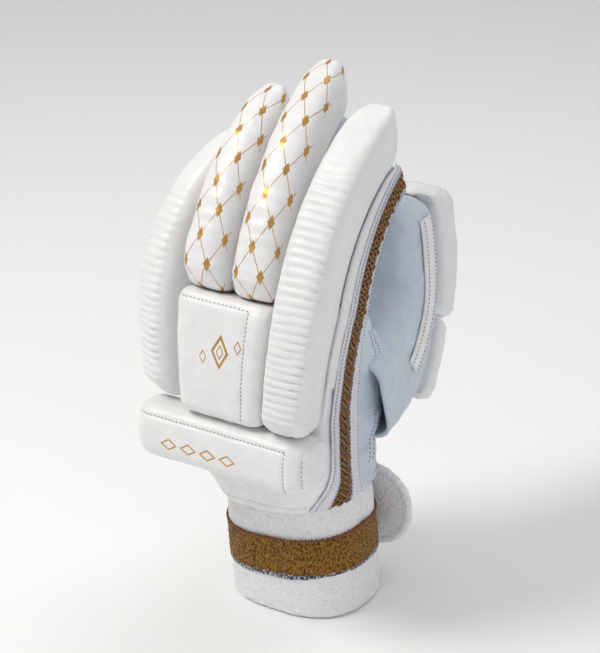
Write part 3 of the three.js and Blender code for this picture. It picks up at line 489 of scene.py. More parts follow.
def colour_and_bump(tree, shader, pattern, dark, light, depth_mm, strength):
    """Lets one pattern, from 0 to 1, set the colour between dark and light and the height."""
    tint = add_node(tree, "ShaderNodeMix", {"data_type": "RGBA", 6: linear(dark), 7: linear(light)},
                    Factor=pattern)
    bump = add_node(tree, "ShaderNodeBump", {"Distance": depth_mm / 1000, "Strength": strength},
                    Height=pattern)
    tree.links.new(tint.outputs[2], shader.inputs["Base Color"])
    tree.links.new(bump.outputs["Normal"], shader.inputs["Normal"])


# %% [markdown]
# ### Coated leather
# Batting pads are covered with white PU-coated leather: satin, with a grain of about 0.8 mm and
# faint broad creases. Its refractive index is about 1.5, and the coat gives it broad highlights.

# %% White coated leather
# The second leather colour is painted shade, laid on by the same noise that makes the creases.
WHITE, WHITE_PAINTED_SHADE = linear("#f1f1ef"), linear("#e3e2e4")
GRAIN_MM, CREASE_MM = 0.9, 7.0


def leather_relief(tree, grain_mm, crease_mm, grain_depth, crease_depth):
    """Two bumps, the creases below and the grain on top, and the crease pattern itself."""
    place = add_node(tree, "ShaderNodeTexCoord")
    creases = add_node(tree, "ShaderNodeTexNoise", {"Scale": 1000 / crease_mm, "Detail": 3.0},
                       Vector=place.outputs["Object"])
    cells = add_node(tree, "ShaderNodeTexVoronoi", {"Scale": 1000 / grain_mm, "feature": "SMOOTH_F1",
                                                    "Smoothness": 0.6}, Vector=place.outputs["Object"])
    low = add_node(tree, "ShaderNodeBump", {"Distance": crease_depth / 1000, "Strength": 0.6},
                   Height=creases.outputs["Fac"])
    top = add_node(tree, "ShaderNodeBump", {"Distance": grain_depth / 1000, "Strength": 0.5},
                   Height=cells.outputs["Distance"], Normal=low.outputs["Normal"])
    return creases, top


def leather(name, light, painted_shade, roughness, grain_mm=GRAIN_MM, grain_depth=0.08, crease_depth=0.5, **more):
    finish, tree, shader = new_finish(name, IOR=1.5, **more)
    creases, relief = leather_relief(tree, grain_mm, CREASE_MM, grain_depth, crease_depth)
    # The crease noise mixes in the second colour: painted shade along the creases.
    tint = add_node(tree, "ShaderNodeMix", {"data_type": "RGBA", 6: light, 7: painted_shade},
                    Factor=creases.outputs["Fac"])
    gloss = add_node(tree, "ShaderNodeMapRange", {"To Min": roughness - 0.06, "To Max": roughness + 0.08},
                     Value=creases.outputs["Fac"])
    tree.links.new(tint.outputs[2], shader.inputs["Base Color"])
    tree.links.new(gloss.outputs["Result"], shader.inputs["Roughness"])
    tree.links.new(relief.outputs["Normal"], shader.inputs["Normal"])
    return finish, tree, shader


# The second colour of each leather here is painted shade along its creases.
white_leather, _, _ = leather("white_coated_leather", WHITE, WHITE_PAINTED_SHADE, 0.42)
palm_leather, _, _ = leather("bluish_palm_leather", linear("#d3dde6"), linear("#bcc9d6"), 0.62,
                             grain_mm=1.1, grain_depth=0.14, crease_depth=0.8)
piping_leather, _, _ = leather("white_piping", linear("#efefef"), linear("#e0e0e4"), 0.5)

# %% [markdown]
# ### Gold foil print
# Heat-pressed foil lies in the leather's surface: a thin metal film with a slight satin. The
# print is a plain lozenge trellis, drawn from where each point lies on the flat leather.

# %% Printed leather
FOIL, METAL, PRINT_GLOSS = linear("#bf9350"), 0.55, 0.40
FOIL_LINE_MM, TRELLIS_MM, PRINT_HALF_MM = 0.42, (13.5, 23.0), 16.0
SPOT_SHARE, RIM_SHARE = 0.14, 0.15      # of a lozenge: half of a crossing's spot, half of a mark's rim


def foil_leather(name, steps):
    """Leather with a foil print. Each step names its result, its operation and its inputs."""
    finish, tree, shader = leather(name, WHITE, WHITE_PAINTED_SHADE, PRINT_GLOSS)
    lay = add_node(tree, "ShaderNodeUVMap", {"uv_map": "lay"})
    flat = add_node(tree, "ShaderNodeSeparateXYZ", Vector=lay.outputs["UV"])
    value = {"x": flat.outputs["X"], "y": flat.outputs["Y"]}
    for result, operation, *inputs in [*steps, ("metal", "MULTIPLY", "print", METAL)]:
        links = {k: value[given] for k, given in enumerate(inputs) if isinstance(given, str)}
        settings = {k: given for k, given in enumerate(inputs) if k not in links}
        made = add_node(tree, "ShaderNodeMath", {"operation": operation, **settings}, links)
        value[result] = made.outputs[0]
    base = shader.inputs["Base Color"].links[0].from_socket
    foil = add_node(tree, "ShaderNodeMix", {"data_type": "RGBA", 7: FOIL}, {6: base}, Factor=value["print"])
    tree.links.new(foil.outputs[2], shader.inputs["Base Color"])
    tree.links.new(value["metal"], shader.inputs["Metallic"])
    return finish


# Foil lines along both diagonals of a lozenge grid, with a small lozenge at each crossing.
HALF_LINE = 0.5 * FOIL_LINE_MM * math.hypot(1 / TRELLIS_MM[0], 1 / TRELLIS_MM[1])
TRELLIS = [
    ("across", "DIVIDE", "x", TRELLIS_MM[0]), ("up", "DIVIDE", "y", TRELLIS_MM[1]),
    ("rising", "ADD", "up", "across"), ("rising", "ADD", "rising", 0.25),
    ("falling", "SUBTRACT", "up", "across"), ("falling", "ADD", "falling", 0.25),
    ("rising", "PINGPONG", "rising", 0.5), ("falling", "PINGPONG", "falling", 0.5),
    ("nearest", "MINIMUM", "rising", "falling"), ("farthest", "MAXIMUM", "rising", "falling"),
    ("line", "LESS_THAN", "nearest", HALF_LINE), ("spot", "LESS_THAN", "farthest", SPOT_SHARE),
    ("either", "MAXIMUM", "line", "spot"), ("top", "COMPARE", "x", 0.0, PRINT_HALF_MM),
    ("print", "MULTIPLY", "either", "top"),
]


def lozenges(marks):
    """Foil outlines of lozenges. Each mark is its middle and its two half sizes in millimetres."""
    steps = [("print", "MULTIPLY", "x", 0.0)]
    for at_x, at_y, wide, tall in marks:
        for flat, at, half in (("x", at_x, wide), ("y", at_y, tall)):
            steps += [("off", "SUBTRACT", flat, at), ("off", "ABSOLUTE", "off"),
                      ("in_" + flat, "DIVIDE", "off", half)]
        steps += [("away", "ADD", "in_x", "in_y"), ("mark", "COMPARE", "away", 1 - RIM_SHARE, RIM_SHARE),
                  ("print", "MAXIMUM", "print", "mark")]
    return steps


PANEL_MARKS = [(-3, 38, 5.2, 8.5), (-3, 38, 2.2, 3.8), (7, 34, 2.2, 3.6), (-13, 42, 2.2, 3.6)]
BAR_MARKS = [(1.5, BAR["middle"] + along, 3.4, 5.2) for along in (-27, -15, -3, 9)]
printed_leather = foil_leather("foil_printed_leather", TRELLIS)
marked_panel = foil_leather("foil_marked_panel_leather", lozenges(PANEL_MARKS))
marked_bar = foil_leather("foil_marked_bar_leather", lozenges(BAR_MARKS))

# %% [markdown]
# ### Towelling
# The cuff is cotton towelling: loops about 1.2 mm across that scatter light, with grey painted shade in the
# gaps between them. The pile itself is in the mesh, and the shader adds its finer fuzz.

# %% White towelling
LOOP_MM = 1.15


def towelling(name, colours, fuzz=0.35, loop_mm=LOOP_MM, tall=1.0):
    """Loops coloured by cells. colours are (place on the ramp, hex), from the middle of each loop out to the
    gaps between loops.
    """
    finish, tree, shader = new_finish(name, Roughness=0.95, IOR=1.45, Sheen_Weight=fuzz, Sheen_Roughness=0.5)
    whole = add_node(tree, "ShaderNodeTexCoord")
    place = add_node(tree, "ShaderNodeMapping", {"Scale": (1, 1, 1 / tall)}, Vector=whole.outputs["Object"])
    cells = add_node(tree, "ShaderNodeTexVoronoi", {"Scale": 1000 / loop_mm, "Randomness": 0.9},
                     Vector=place.outputs["Vector"])
    specks = add_node(tree, "ShaderNodeTexNoise", {"Scale": 1000 / (1.6 * loop_mm), "Detail": 4.0,
                                                   "Roughness": 0.7}, Vector=place.outputs["Vector"])
    mixed = add_node(tree, "ShaderNodeMix", {"data_type": "FLOAT", "Factor": 0.5},
                     A=cells.outputs["Distance"], B=specks.outputs["Fac"])
    ramp = add_node(tree, "ShaderNodeValToRGB", None, Fac=mixed.outputs[0])
    while len(ramp.color_ramp.elements) < len(colours):
        ramp.color_ramp.elements.new(0.5)
    for element, (at, code) in zip(ramp.color_ramp.elements, colours):
        element.position, element.color = at, linear(code)
    bump = add_node(tree, "ShaderNodeBump", {"Distance": 0.0006, "Strength": 0.7, "invert": True},
                    Height=mixed.outputs[0])
    tree.links.new(ramp.outputs["Color"], shader.inputs["Base Color"])
    tree.links.new(bump.outputs["Normal"], shader.inputs["Normal"])
    return finish


# The grey towards the gaps between loops is painted shade.
white_towel = towelling("white_towelling", [(0.2, "#f2f2f2"), (0.52, "#ececee"), (0.8, "#d3d3d9")])
# The light gold on the loop crowns is a painted highlight, and the near-black in the gaps is painted shade
# that also stands for the band's black flecks.
brown_towel = towelling("brown_towelling", [(0.25, "#b78a3a"), (0.42, "#976b22"), (0.54, "#6f4c17"),
                                            (0.68, "#2c1d0b")], fuzz=0.1, loop_mm=0.8, tall=2.0)
flecked_towel = towelling("flecked_towelling", [(0.3, "#e6e6ea"), (0.45, "#8d8c98"), (0.6, "#2a2933")],
                          loop_mm=0.9, tall=2.0)

# %% [markdown]
# ### Net, elastic and thread
# The net is knitted from brown polyester cord over a near-black sheet, which is painted shade seen through
# its holes. The elastic is white with fine ribs along it, and the seams are sewn with lilac-grey thread.

# %% Net, elastic and thread
WAVE_SCALE = 1000 * 2 * math.pi / 20    # a wave texture of this scale has bands 1 mm apart


def cord_finish(name, light, dark, twist_mm, roughness):
    finish, tree, shader = new_finish(name, Roughness=roughness, IOR=1.5, Sheen_Weight=0.2)
    place = add_node(tree, "ShaderNodeTexCoord")
    strands = add_node(tree, "ShaderNodeTexWave", {"Scale": WAVE_SCALE / twist_mm, "Distortion": 3.0,
                                                   "bands_direction": "DIAGONAL", "Detail": 2.0},
                       Vector=place.outputs["Object"])
    colour_and_bump(tree, shader, strands.outputs["Fac"], dark, light, 0.3, 0.6)
    return finish


net_cord = cord_finish("brown_net_cord", "#9a6b2b", "#6a4716", 1.6, 0.6)
# A near-black sheet under the net: painted shade seen through the net's holes.
net_hole_shade = cord_finish("painted_shade_under_net", "#120d08", "#060504", 1.2, 0.95)
grey_edging = cord_finish("dark_grey_edging", "#6b6a70", "#3c3b41", 1.0, 0.8)
red_thread = cord_finish("red_brown_thread", "#a2623f", "#77432a", 0.6, 0.8)
lilac_thread = cord_finish("lilac_grey_thread", "#b9b5c4", "#8f8b9c", 0.6, 0.7)
white_thread = cord_finish("white_thread", "#f2f2f2", "#cfcfd4", 0.6, 0.7)
blue_thread = cord_finish("blue_grey_thread", "#8b98ab", "#5d6a80", 0.6, 0.7)


def ribbed_elastic(name, light, dark, rib_mm, knit_mm):
    """Fine ribs along the tape, from its flat lay, crossed by the knit's small stitches."""
    finish, tree, shader = new_finish(name, Roughness=0.85, IOR=1.45, Sheen_Weight=0.25)
    lay = add_node(tree, "ShaderNodeUVMap", {"uv_map": "lay"})
    waves = []
    for way, pitch in (("X", rib_mm), ("Y", knit_mm)):
        pattern = {"Scale": WAVE_SCALE / 1000 / pitch, "Distortion": 0.8, "bands_direction": way}
        waves.append(add_node(tree, "ShaderNodeTexWave", pattern, Vector=lay.outputs["UV"]))
    mixed = add_node(tree, "ShaderNodeMix", {"data_type": "FLOAT", "Factor": 0.35},
                     A=waves[0].outputs["Fac"], B=waves[1].outputs["Fac"])
    colour_and_bump(tree, shader, mixed.outputs[0], dark, light, 0.4, 0.8)
    return finish


white_elastic = ribbed_elastic("white_knitted_elastic", "#f1f1f3", "#cdccd9", 1.3, 0.9)

# %% [markdown]
# ## Padded rolls
# The two outer rolls are foam and cotton under leather that is quilted into ribs across the top.
# The ribs stop at the smooth side wall. The two printed rolls are crowned and only rumple a
# little. At the foot each cover is folded down like the hipped end of a roof.

# %% Padded rolls
ROLL_FORM = {"foot": 11, "foot_close": 2.5, "tip_close": 3, "foot_narrow": 0.1, "tip_narrow": 0.52,
             "foot_lift": 0.04, "tip_lift": 0.55, "foot_drop": 0.34, "tip_drop": 0.1, "middle": 0.4,
             "end_width": 0.72, "end_height": 0.55, "power": 2.6, "low_power": 5}
ROLL_SIDES = 76
KNOT = {"depth": 1.0, "size": 2.0, "rays": 7, "ray": 0.35, "ray_at": 3.5, "ray_width": 2.5}


def roll_limits(finger, start, s):
    """The width of a roll at each place on it, and how high its underside and its top lie."""
    form, end = ROLL_FORM, finger["length"]
    foot, tip = 1 - share(s, start, start + form["foot"]), share(s, end - ROLL["tip"], end)
    past = share(s, KNUCKLE_REACH, end)
    depth = (ROLL["outer"] if finger["outer"] else ROLL["inner"]) * lerp(1, finger["deep"], past)
    depth = depth * finger.get("fill", 1)
    edge = np.maximum(share(s, end - form["tip_close"], end), 1 - share(s, start, start + form["foot_close"]))
    close = np.sqrt(np.maximum(1 - edge ** 2, 0.0))
    narrow = (1 - form["foot_narrow"] * foot ** 2) * (1 - form["tip_narrow"] * tip ** 2.4)
    width = (width_at(s) * lerp(1, finger["slim"], past) - 2 * CLEARANCE) * narrow
    low = CLEARANCE + depth * (form["foot_lift"] * foot ** 3 + form["tip_lift"] * tip ** 2)
    high = depth * (1 - form["foot_drop"] * foot ** 1.2 - form["tip_drop"] * tip ** 2)
    middle, open_share = lerp(low, high, form["middle"]), lerp(form["end_height"], 1, close)
    return (width * lerp(form["end_width"], 1, close), lerp(middle, low, open_share),
            lerp(middle, high, open_share))


def rib_height(finger, start, s, x):
    """Ribs across a roll: round crests that wander a little and fade out towards the tip."""
    first, last = start + RIB["foot"] - 2, finger["length"] - RIB["tip_clear"] + 8
    drift = 0.5 * np.sin(s / 9.0 + 1.3) + 0.35 * np.sin(x / 6.0 + s / 17.0)
    place = np.mod((s + drift) / RIB["pitch"], 1.0)
    crest = np.sqrt(np.maximum(1 - (2 * place - 1) ** 2, 0))
    strength = ease(share(s, first - 1, first + 3)) * (1 - ease(share(s, last - RIB["fade"], last)))
    return RIB["relief"] * (crest - 0.7) * strength


def foot_creases(start, s, x):
    """The hipped foot: a fold where the cover turns down, and gathers that run to its corners."""
    up = s - start
    fold = groove(up - 11.5 + 0.12 * np.abs(x), 0.7, 0.9)
    gathers = groove(up - 2 - 0.75 * np.abs(x), 0.5, 0.8) * share(up, 1, 4) * (1 - share(up, 9, 12))
    return fold + gathers


def knot_pucker(up, x):
    """The foot of the index roll, where the last stitch draws the leather together in rays."""
    away, turn = np.hypot(x, up), np.arctan2(up, x)
    rays = KNOT["ray"] * np.cos(KNOT["rays"] * turn)
    return (-KNOT["depth"] * np.exp(-(away / KNOT["size"]) ** 2)
            + rays * np.exp(-((away - KNOT["ray_at"]) / KNOT["ray_width"]) ** 2))


for finger_name, finger in FINGERS.items():
    start, end = 0.0 if finger["outer"] else PANEL["top"] + 2 * CLEARANCE, finger["length"]
    s = np.r_[np.linspace(start, start + 3, 9), np.arange(start + 3.7, end - 3.2, 0.75),
              np.linspace(end - 3, end, 10)]
    width, low, high = roll_limits(finger, start, s)
    power = finger.get("square", ROLL_FORM["power"])
    x, n = loaf(width, low, high, power, ROLL_FORM["low_power"], ROLL_SIDES)
    path = PATHS[finger_name](s)
    points = beside(path, x, n)
    normals = normals_of(points)
    rows = np.broadcast_to(s[:, None], x.shape)
    upper = facing(normals, path["out"], 0.2, 0.6)
    relief = 0.35 * rumple(points, 9, 1) * facing(normals, path["out"], -0.2, 0.6)
    if finger["outer"]:
        relief = relief * 0.5 + rib_height(finger, start, rows, x) * facing(normals, path["out"], 0.45, 0.85)
    else:
        bands = noise_at(np.stack([x / 16, rows / 3.6, np.full(x.shape, start)], axis=-1))
        fade = 1 - 0.7 * share(rows, start + 40, end)
        relief = relief + 0.55 * bands * facing(normals, path["out"], 0.3, 0.8) * fade
    relief = relief + foot_creases(start, rows, x) * upper
    if finger_name == "index":
        relief = relief + knot_pucker(rows - start - 6, x - 4) * upper
    points = points + normals * relief[..., None]
    u = round_lengths(points[len(s) // 2])
    u = u - np.interp(ROLL_SIDES / 4 - 0.5, np.arange(ROLL_SIDES), u[:-1])      # 0 along the crown
    finish, slot = (white_leather, "pad_leather") if finger["outer"] else (printed_leather, "printed_pad")
    roll = skin(f"padded_roll_{finger_name}", points, u, s, finish)
    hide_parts(f"roll_{finger_name}")

# %% [markdown]
# ## Back panel
# A flat pad of moulded foam covers the hand between the outer rolls. Its cover is sewn down near
# the index side and along the top.

# %% Back panel
def top_columns(x, n, target):
    """For each row, the fractional column on the upper face where x has the target value."""
    found = []
    for row in range(x.shape[0]):
        top = np.arange(x.shape[1])[n[row] > n[row].max() - 0.35 * (n[row].max() - n[row].min())]
        order = np.argsort(x[row, top])
        found.append(np.interp(target[row] if np.ndim(target) else target, x[row, top][order], top[order]))
    return np.array(found)


t = np.r_[np.linspace(0, 0.12, 14), np.linspace(0.13, 0.87, 70), np.linspace(0.88, 1, 14)]
s = lerp(PANEL["foot"], PANEL["top"], t)
edge = np.maximum(0, np.abs(2 * t - 1) - 0.76) / 0.24
squeeze = PANEL["corner"] * (1 - np.sqrt(np.maximum(0, 1 - edge ** 2)))
half = width_at(s) - CLEARANCE - 0.3 * squeeze
low, high = CLEARANCE + 0.2 * squeeze, PANEL["depth"] - squeeze
x, n = round_box(-half, half, low, high, 3, PANEL["corner"], 9, 30)
crown = 1.4 * (1 - (x / half[:, None]) ** 2) * np.sin(np.pi * t)[:, None] ** 0.5
points = beside(hand_path(s), x, n)
normals = normals_of(points)
upper = facing(normals, hand_path(s)["out"], 0.4, 0.9)
seam_x, seam_s = half[:, None] * 0.60, PANEL["top"] - 2.6
seams = groove(x - seam_x, 0.7, 0.9) + groove(s[:, None] - seam_s, 0.5, 0.8)
tight = 0.3 * rumple(points, 2.6, 5, (1.6, 1, 1)) * np.exp(-np.abs(x - seam_x) / 3)
relief = upper * (crown - 0.9 + seams + tight) + 0.25 * rumple(points, 8, 3)
points = points + normals * relief[..., None]
u = round_lengths(points[len(s) // 2])
panel = skin("quilted_back_panel", points, u - u[25], s, marked_panel)
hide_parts("back_panel")
normals = normals_of(points)
keep = np.arange(6, len(s) - 5)
down = top_columns(x, n, seam_x[:, 0])[keep]
top_row = np.interp(seam_s, s, np.arange(len(s)))
across = np.linspace(top_columns(x, n, -half * 0.93)[int(top_row)], down[-1], 60)
panel_seams = [(trace(points, r, c), trace(normals, r, c)) for r, c in ((keep, down), (top_row, across))]

# %% [markdown]
# ## Wrist bar
# A padded log across the lower end of the rolls. Its front is sewn to the top and to the end by
# two seams that meet at the thumb side.

# %% Wrist bar
BAR_CAP, SEAM_DROP = 0.985, 4.5         # where the end caps begin, and how far the seam is below the top
t = np.r_[-1, -0.997, -0.99, np.linspace(-0.98, -0.8, 20), np.linspace(-0.79, 0.79, 110),
          np.linspace(0.8, 0.98, 20), 0.99, 0.997, 1]
half = BAR["width"] / 2
end = share(np.abs(t) * half, half - BAR["end"], half)
cap = (np.abs(t) - BAR_CAP) / (1.0002 - BAR_CAP)
size = np.sqrt(1 - 0.5 * end ** 3) * np.where(cap > 0, np.sqrt(np.maximum(1 - cap ** 2, 0.3)), 1)
middle_y = -BACK_OFFSET - CLEARANCE - BAR["depth"] / 2 + BAR["depth"] * 0.5 * (1 - size)
level = ROLL_FOOT - BAR["gap"] - BAR["height"] / 2
b, h = loaf(BAR["depth"] * size, -BAR["height"] / 2 * size, BAR["height"] / 2 * size, 3.2, 2.6, 110)
bar_x = BAR["middle"] + t * half + BAR["thumb_end"] * share(t, 0.3, 1)
points = np.stack(np.broadcast_arrays(bar_x[:, None], middle_y[:, None] + b, level + h), axis=-1)
normals = -normals_of(points)
if (normals[60, :, 1] * (points[60, :, 1] - points[60, :, 1].mean())).sum() < 0:
    normals = -normals
seam_z = level + BAR["height"] / 2 - SEAM_DROP
seam_x, end_x = BAR["middle"] + half * 0.84, BAR["middle"] + half * 1.02
across, high, to_front = points[..., 0], points[..., 2], -normals[..., 1]
top_seam = groove(high - seam_z, 0.7, 0.9) * ease(share(to_front, -0.1, 0.2)) * (across < seam_x + 1)
end_seam = groove(across - seam_x, 0.7, 0.9) * (high < seam_z + 1) * ease(share(to_front, -0.3, 0.1))
relief = top_seam + end_seam + groove(across - end_x, 0.5, 0.7) + 0.3 * rumple(points, 9, 4)
relief = relief + 0.2 * rumple(points, 3, 8, (1, 1, 2)) * np.exp(-np.abs(high - seam_z) / 4)
points = points + normals * relief[..., None]
u = round_lengths(points[60])
bar = skin("wrist_bar_pad", points[::-1], u - u[54], points[::-1, 0, 0], marked_bar)
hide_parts("wrist_bar")
front_columns = np.arange(b.shape[1])[b[60] < 0]


def bar_line(xs, zs):
    """Points on the bar's front where it is at these heights and places across."""
    rows = np.interp(xs, points[:, 0, 0], np.arange(len(t)))
    columns = []
    for row, z in zip(rows.round().astype(int), zs):
        order = front_columns[np.argsort(points[row, front_columns, 2])]
        columns.append(np.interp(z, points[row, order, 2], order))
    return trace(points, rows, columns), trace(normals, rows, columns)


bar_seams = [bar_line(np.linspace(BAR["middle"] - half * 0.93, seam_x, 90), np.full(90, seam_z)),
             bar_line(np.full(40, seam_x), np.linspace(seam_z, level - BAR["height"] * 0.42, 40)),
             bar_line(np.full(40, end_x), np.linspace(seam_z - 3, level - BAR["height"] * 0.3, 40))]
sew("pad_stitches", panel_seams + bar_seams, lilac_thread)

# %% [markdown]
# ## Hand shell
# One leather tube holds the hand. Its back runs down behind the wrist bar as a smooth flap over
# the towelling, and the palm side is the softer bluish leather.

# %% Hand shell
def table_at(rows, key, t, soften=0.03):
    """Reads every column of a table, with its corners rounded off a little."""
    fine = np.linspace(-0.2, 1.2, 1401)
    window = np.hanning(int(2 * soften * 1000) + 3)
    window = window / window.sum()
    read = {}
    for name, values in rows.items():
        line = np.interp(fine, rows[key], values)
        soft = np.convolve(np.pad(line, len(window) // 2, "edge"), window, "valid")
        read[name] = np.interp(t, fine, soft[:len(fine)])
    return read


RIM_S = RIM_HEIGHT - ROLL_FOOT


def cuff_middle(z):
    return CUFF["lean"] * (z / CUFF["height"] - 0.3)


def cuff_swell(z):
    return CUFF["flare"] * (1 - share(z, 0, CUFF["height"]))


def edge_of(finger):
    return abs(finger["place"]) + math.cos(math.atan(arch_slope(finger["place"]))) / 2


def hand_limits(s, inset=0.0):
    s = np.asarray(s, float)
    row = table_at(HAND_ROWS, "along", share(s, RIM_S, KNUCKLE_REACH))
    z = ROLL_FOOT + s
    grown = cuff_swell(z) + CLEARANCE + LEATHER
    side = cuff_middle(z) - HAND_SHIFT
    cuff_low = -(CUFF["depth"] / 2 + grown + BACK_OFFSET)
    least = np.where(row["depth"] > 0.9, -cuff_low * (1 - row["swell"]), 0)
    deep = np.maximum(row["depth"] * HAND_DEPTH, least)
    swell, width = row["swell"], width_at(s)
    radius = CUFF["corner"] + grown
    little, index = (edge_of(FINGERS[name]) * width - CLEARANCE for name in ("little", "index"))
    return {
        "swell": swell,
        "left": lerp(side - CUFF["width"] / 2 - grown, -little, swell) + inset,
        "right": lerp(side + CUFF["width"] / 2 + grown, index, swell) - inset,
        "high": lerp(CUFF["depth"] / 2 + grown - BACK_OFFSET, 0, np.minimum(1, 1.3 * swell)) - inset,
        "low": lerp(cuff_low, -deep, swell) + inset,
        "low_radius": lerp(radius, row["round"] * FINGER_WIDTH, swell) - inset,
        "high_radius": lerp(radius, 0.3 * FINGER_WIDTH, swell) - inset,
    }


def cuff_tilt(z, x):
    return CUFF["slope"] * x * share(z, 0, BAND["bottom"]) * (1 - share(z, RIM_HEIGHT, CUFF["height"]))


def hand_lift(s, x, n):
    """How much higher than the middle of the back a point lies, with the rise of the lower rim."""
    near = 1 - share(s, RIM_S, lerp(RIM_S, KNUCKLE_REACH, RIM_RISE["until"]))
    return near * (RIM_RISE["height"] * np.clip(-n / RIM_RISE["depth"], 0, 1)
                   + cuff_tilt(RIM_HEIGHT, x + HAND_SHIFT))


def hand_points(s, x, n):
    width, swell = width_at(s)[:, None], hand_limits(s)["swell"][:, None]
    drop = width * arch_drop(x / width) * swell * np.clip(1 + n / HAND_DEPTH, 0, 1)
    lift = hand_lift(s[:, None], x, n)
    return beside(hand_path(s), x, n - drop) + hand_path(s)["along"][:, None, :] * lift[..., None]


STEPS, BETWEEN = 12, 26
hand_s = np.linspace(RIM_S, KNUCKLE_REACH, 150)


def hand_row(s):
    """The fractional row of the hand's grid at a place along it."""
    return np.interp(s, hand_s, np.arange(len(hand_s)))


def hand_grid(inset):
    at = hand_limits(hand_s, inset)
    box = [at[key] for key in ("left", "right", "low", "high", "low_radius", "high_radius")]
    x, n = round_box(*box, STEPS, BETWEEN)
    return x, n, hand_points(hand_s, x, n)


x, n, outer = hand_grid(0)
_, _, inner = hand_grid(LEATHER)
normals = normals_of(outer)
block = STEPS + 1 + BETWEEN
right_split, left_split = 4 * block - BETWEEN // 2, 2 * block - BETWEEN // 2
around = np.arange(4 * block)
span_back = np.r_[np.arange(right_split, 4 * block), np.arange(0, left_split + 1)]
span_palm = np.arange(left_split, right_split + 1)
hand_t = hand_s[:, None]
heel = ease(share(hand_t, RIM_S + 8, RIM_S + 30)) * (1 - ease(share(hand_t, 20, KNUCKLE_REACH)))
flap = 1 - ease(share(hand_t, RIM_S + 14, RIM_S + 34))
palm_relief = heel * (1.1 * rumple(outer, 15, 2, (1.5, 1.5, 0.8)) + 0.4 * rumple(outer, 5, 6, (2, 2, 0.7)))
back_relief = 0.35 * rumple(outer, 12, 9) + 0.55 * rumple(outer, 5, 8, (2.6, 2.6, 0.8)) * flap
hem = 4.0
back_relief = back_relief + groove(hand_t - RIM_S - hem, 0.35, 0.8)
back_grid = outer + normals * back_relief[..., None]
palm_grid = outer + normals * palm_relief[..., None]
back_shell = wall("hand_back_leather", back_grid[:, span_back], inner[:, span_back],
                  white_leather, "white_leather")
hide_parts("hand_back")
palm_shell = wall("palm_leather_side", palm_grid[:, span_palm], inner[:, span_palm],
                  palm_leather, "palm_leather")
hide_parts("palm")
hem_columns = np.r_[np.arange(right_split + 3, 4 * block), np.arange(0, left_split - 3)]
hem_seams = [(trace(back_grid, hand_row(RIM_S + hem), hem_columns),
              trace(normals, hand_row(RIM_S + hem), hem_columns))]
sew("hem_stitches", hem_seams, white_thread, pitch=2.3)

# %% [markdown]
# ## Palm patch
# The heel of the palm wears first, so a second piece of leather is sewn on it with two rows of
# stitches.

# %% Palm patch
PATCH_ROWS, PATCH_COLUMNS, PATCH_BOW = 80, 60, 6
columns = np.linspace(2 * block + STEPS + 3, 3 * block - 3, PATCH_COLUMNS)
rows = np.linspace(hand_row(-26), hand_row(28), PATCH_ROWS)
grid_rows, grid_columns = np.meshgrid(rows, columns, indexing="ij")
bow = PATCH_BOW * np.sin(np.pi * np.linspace(0, 1, PATCH_ROWS))[:, None]
grid_columns = grid_columns + bow * np.linspace(0, 1, PATCH_COLUMNS)[None, :]
base, away = (trace(grid, grid_rows.ravel(), grid_columns.ravel()).reshape(*grid_rows.shape, 3)
              for grid in (palm_grid, normals))
last_r, last_c = PATCH_ROWS - 1, PATCH_COLUMNS - 1
r, c = np.meshgrid(np.arange(last_r + 1.0), np.arange(last_c + 1.0), indexing="ij")
rim = np.minimum(np.minimum(r, last_r - r), np.minimum(c, last_c - c))
lift = 0.5 + 1.0 * np.sqrt(np.clip(rim / 3, 0, 1)) + groove(np.abs(rim - 4.0), 0.35, 1.0)
patch = wall("palm_patch_leather", base + away * lift[..., None], base - away * 0.3,
             palm_leather, "palm_leather")
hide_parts("palm_patch")
patch_top = base + away * (lift[..., None] + 0.05)
loops = []
for inset in (3.5, 8.0):
    down, over = np.linspace(inset, last_r - inset, 60), np.linspace(inset, last_c - inset, 40)
    r = np.r_[down, np.full(40, down[-1]), down[::-1], np.full(40, inset)]
    c = np.r_[np.full(60, inset), over, np.full(60, over[-1]), over[::-1]]
    loops.append((trace(patch_top, r, c), trace(away, r, c)))
seam_columns, seam_row = np.arange(left_split + 8, right_split - 14.0), hand_row(46)
down_rows = np.arange(hand_row(-50), seam_row)
palm_seams = [(seam_row, seam_columns), (down_rows, 2 * block + STEPS - 2), (5, seam_columns)]
palm_seams += [(down_rows, 3 * block + STEPS + k) for k in (-1, 1)]
loops += [(trace(palm_grid, r, c), trace(normals, r, c)) for r, c in palm_seams]
sew("palm_stitches", loops, blue_thread, pitch=2.4)

# %% [markdown]
# ## Finger stalls
# The fingers lie in leather tubes under the rolls. Where a finger bends, the leather on its
# inner side folds into creases.

# %% Finger stalls
CREASE = {"joints": (0.22, 0.58, 0.80), "offsets": (-3.6, 0, 3.4), "depths": (0.8, 1.5, 0.8), "width": 1.3}


def stall_limits(finger, s):
    end = finger["length"] - STALL["tip_short"]
    along = share(s, KNUCKLE_REACH, end)
    tip = share(s, end - STALL["tip_round"], end)
    shrink = np.sqrt(np.maximum(1 - 0.7 * tip ** 2, 0.01))
    half = lerp(FINGER_WIDTH / 2 - CLEARANCE, STALL["tip_width"] / 2, along ** 2) * shrink
    depth = lerp(STALL["root"], STALL["tip"], along)
    return half, -depth / 2 - depth / 2 * shrink, -depth / 2 + depth / 2 * shrink - CLEARANCE


def stall_lean(finger):
    return STALL["upright"] * arch_slope(finger["place"])


def stall_grid(finger, s, inset):
    half, low, high = stall_limits(finger, s)
    low = low * lerp(1, 0.84, share(s, KNUCKLE_REACH, finger["length"]))
    x, n = round_box(-half + inset, half - inset, low + inset, high - inset,
                     0.95 * half - inset, STALL["corner"] - inset, 7, 8)
    return x, n, beside(PATHS[finger["name"]](s), x + stall_lean(finger) * n, n)


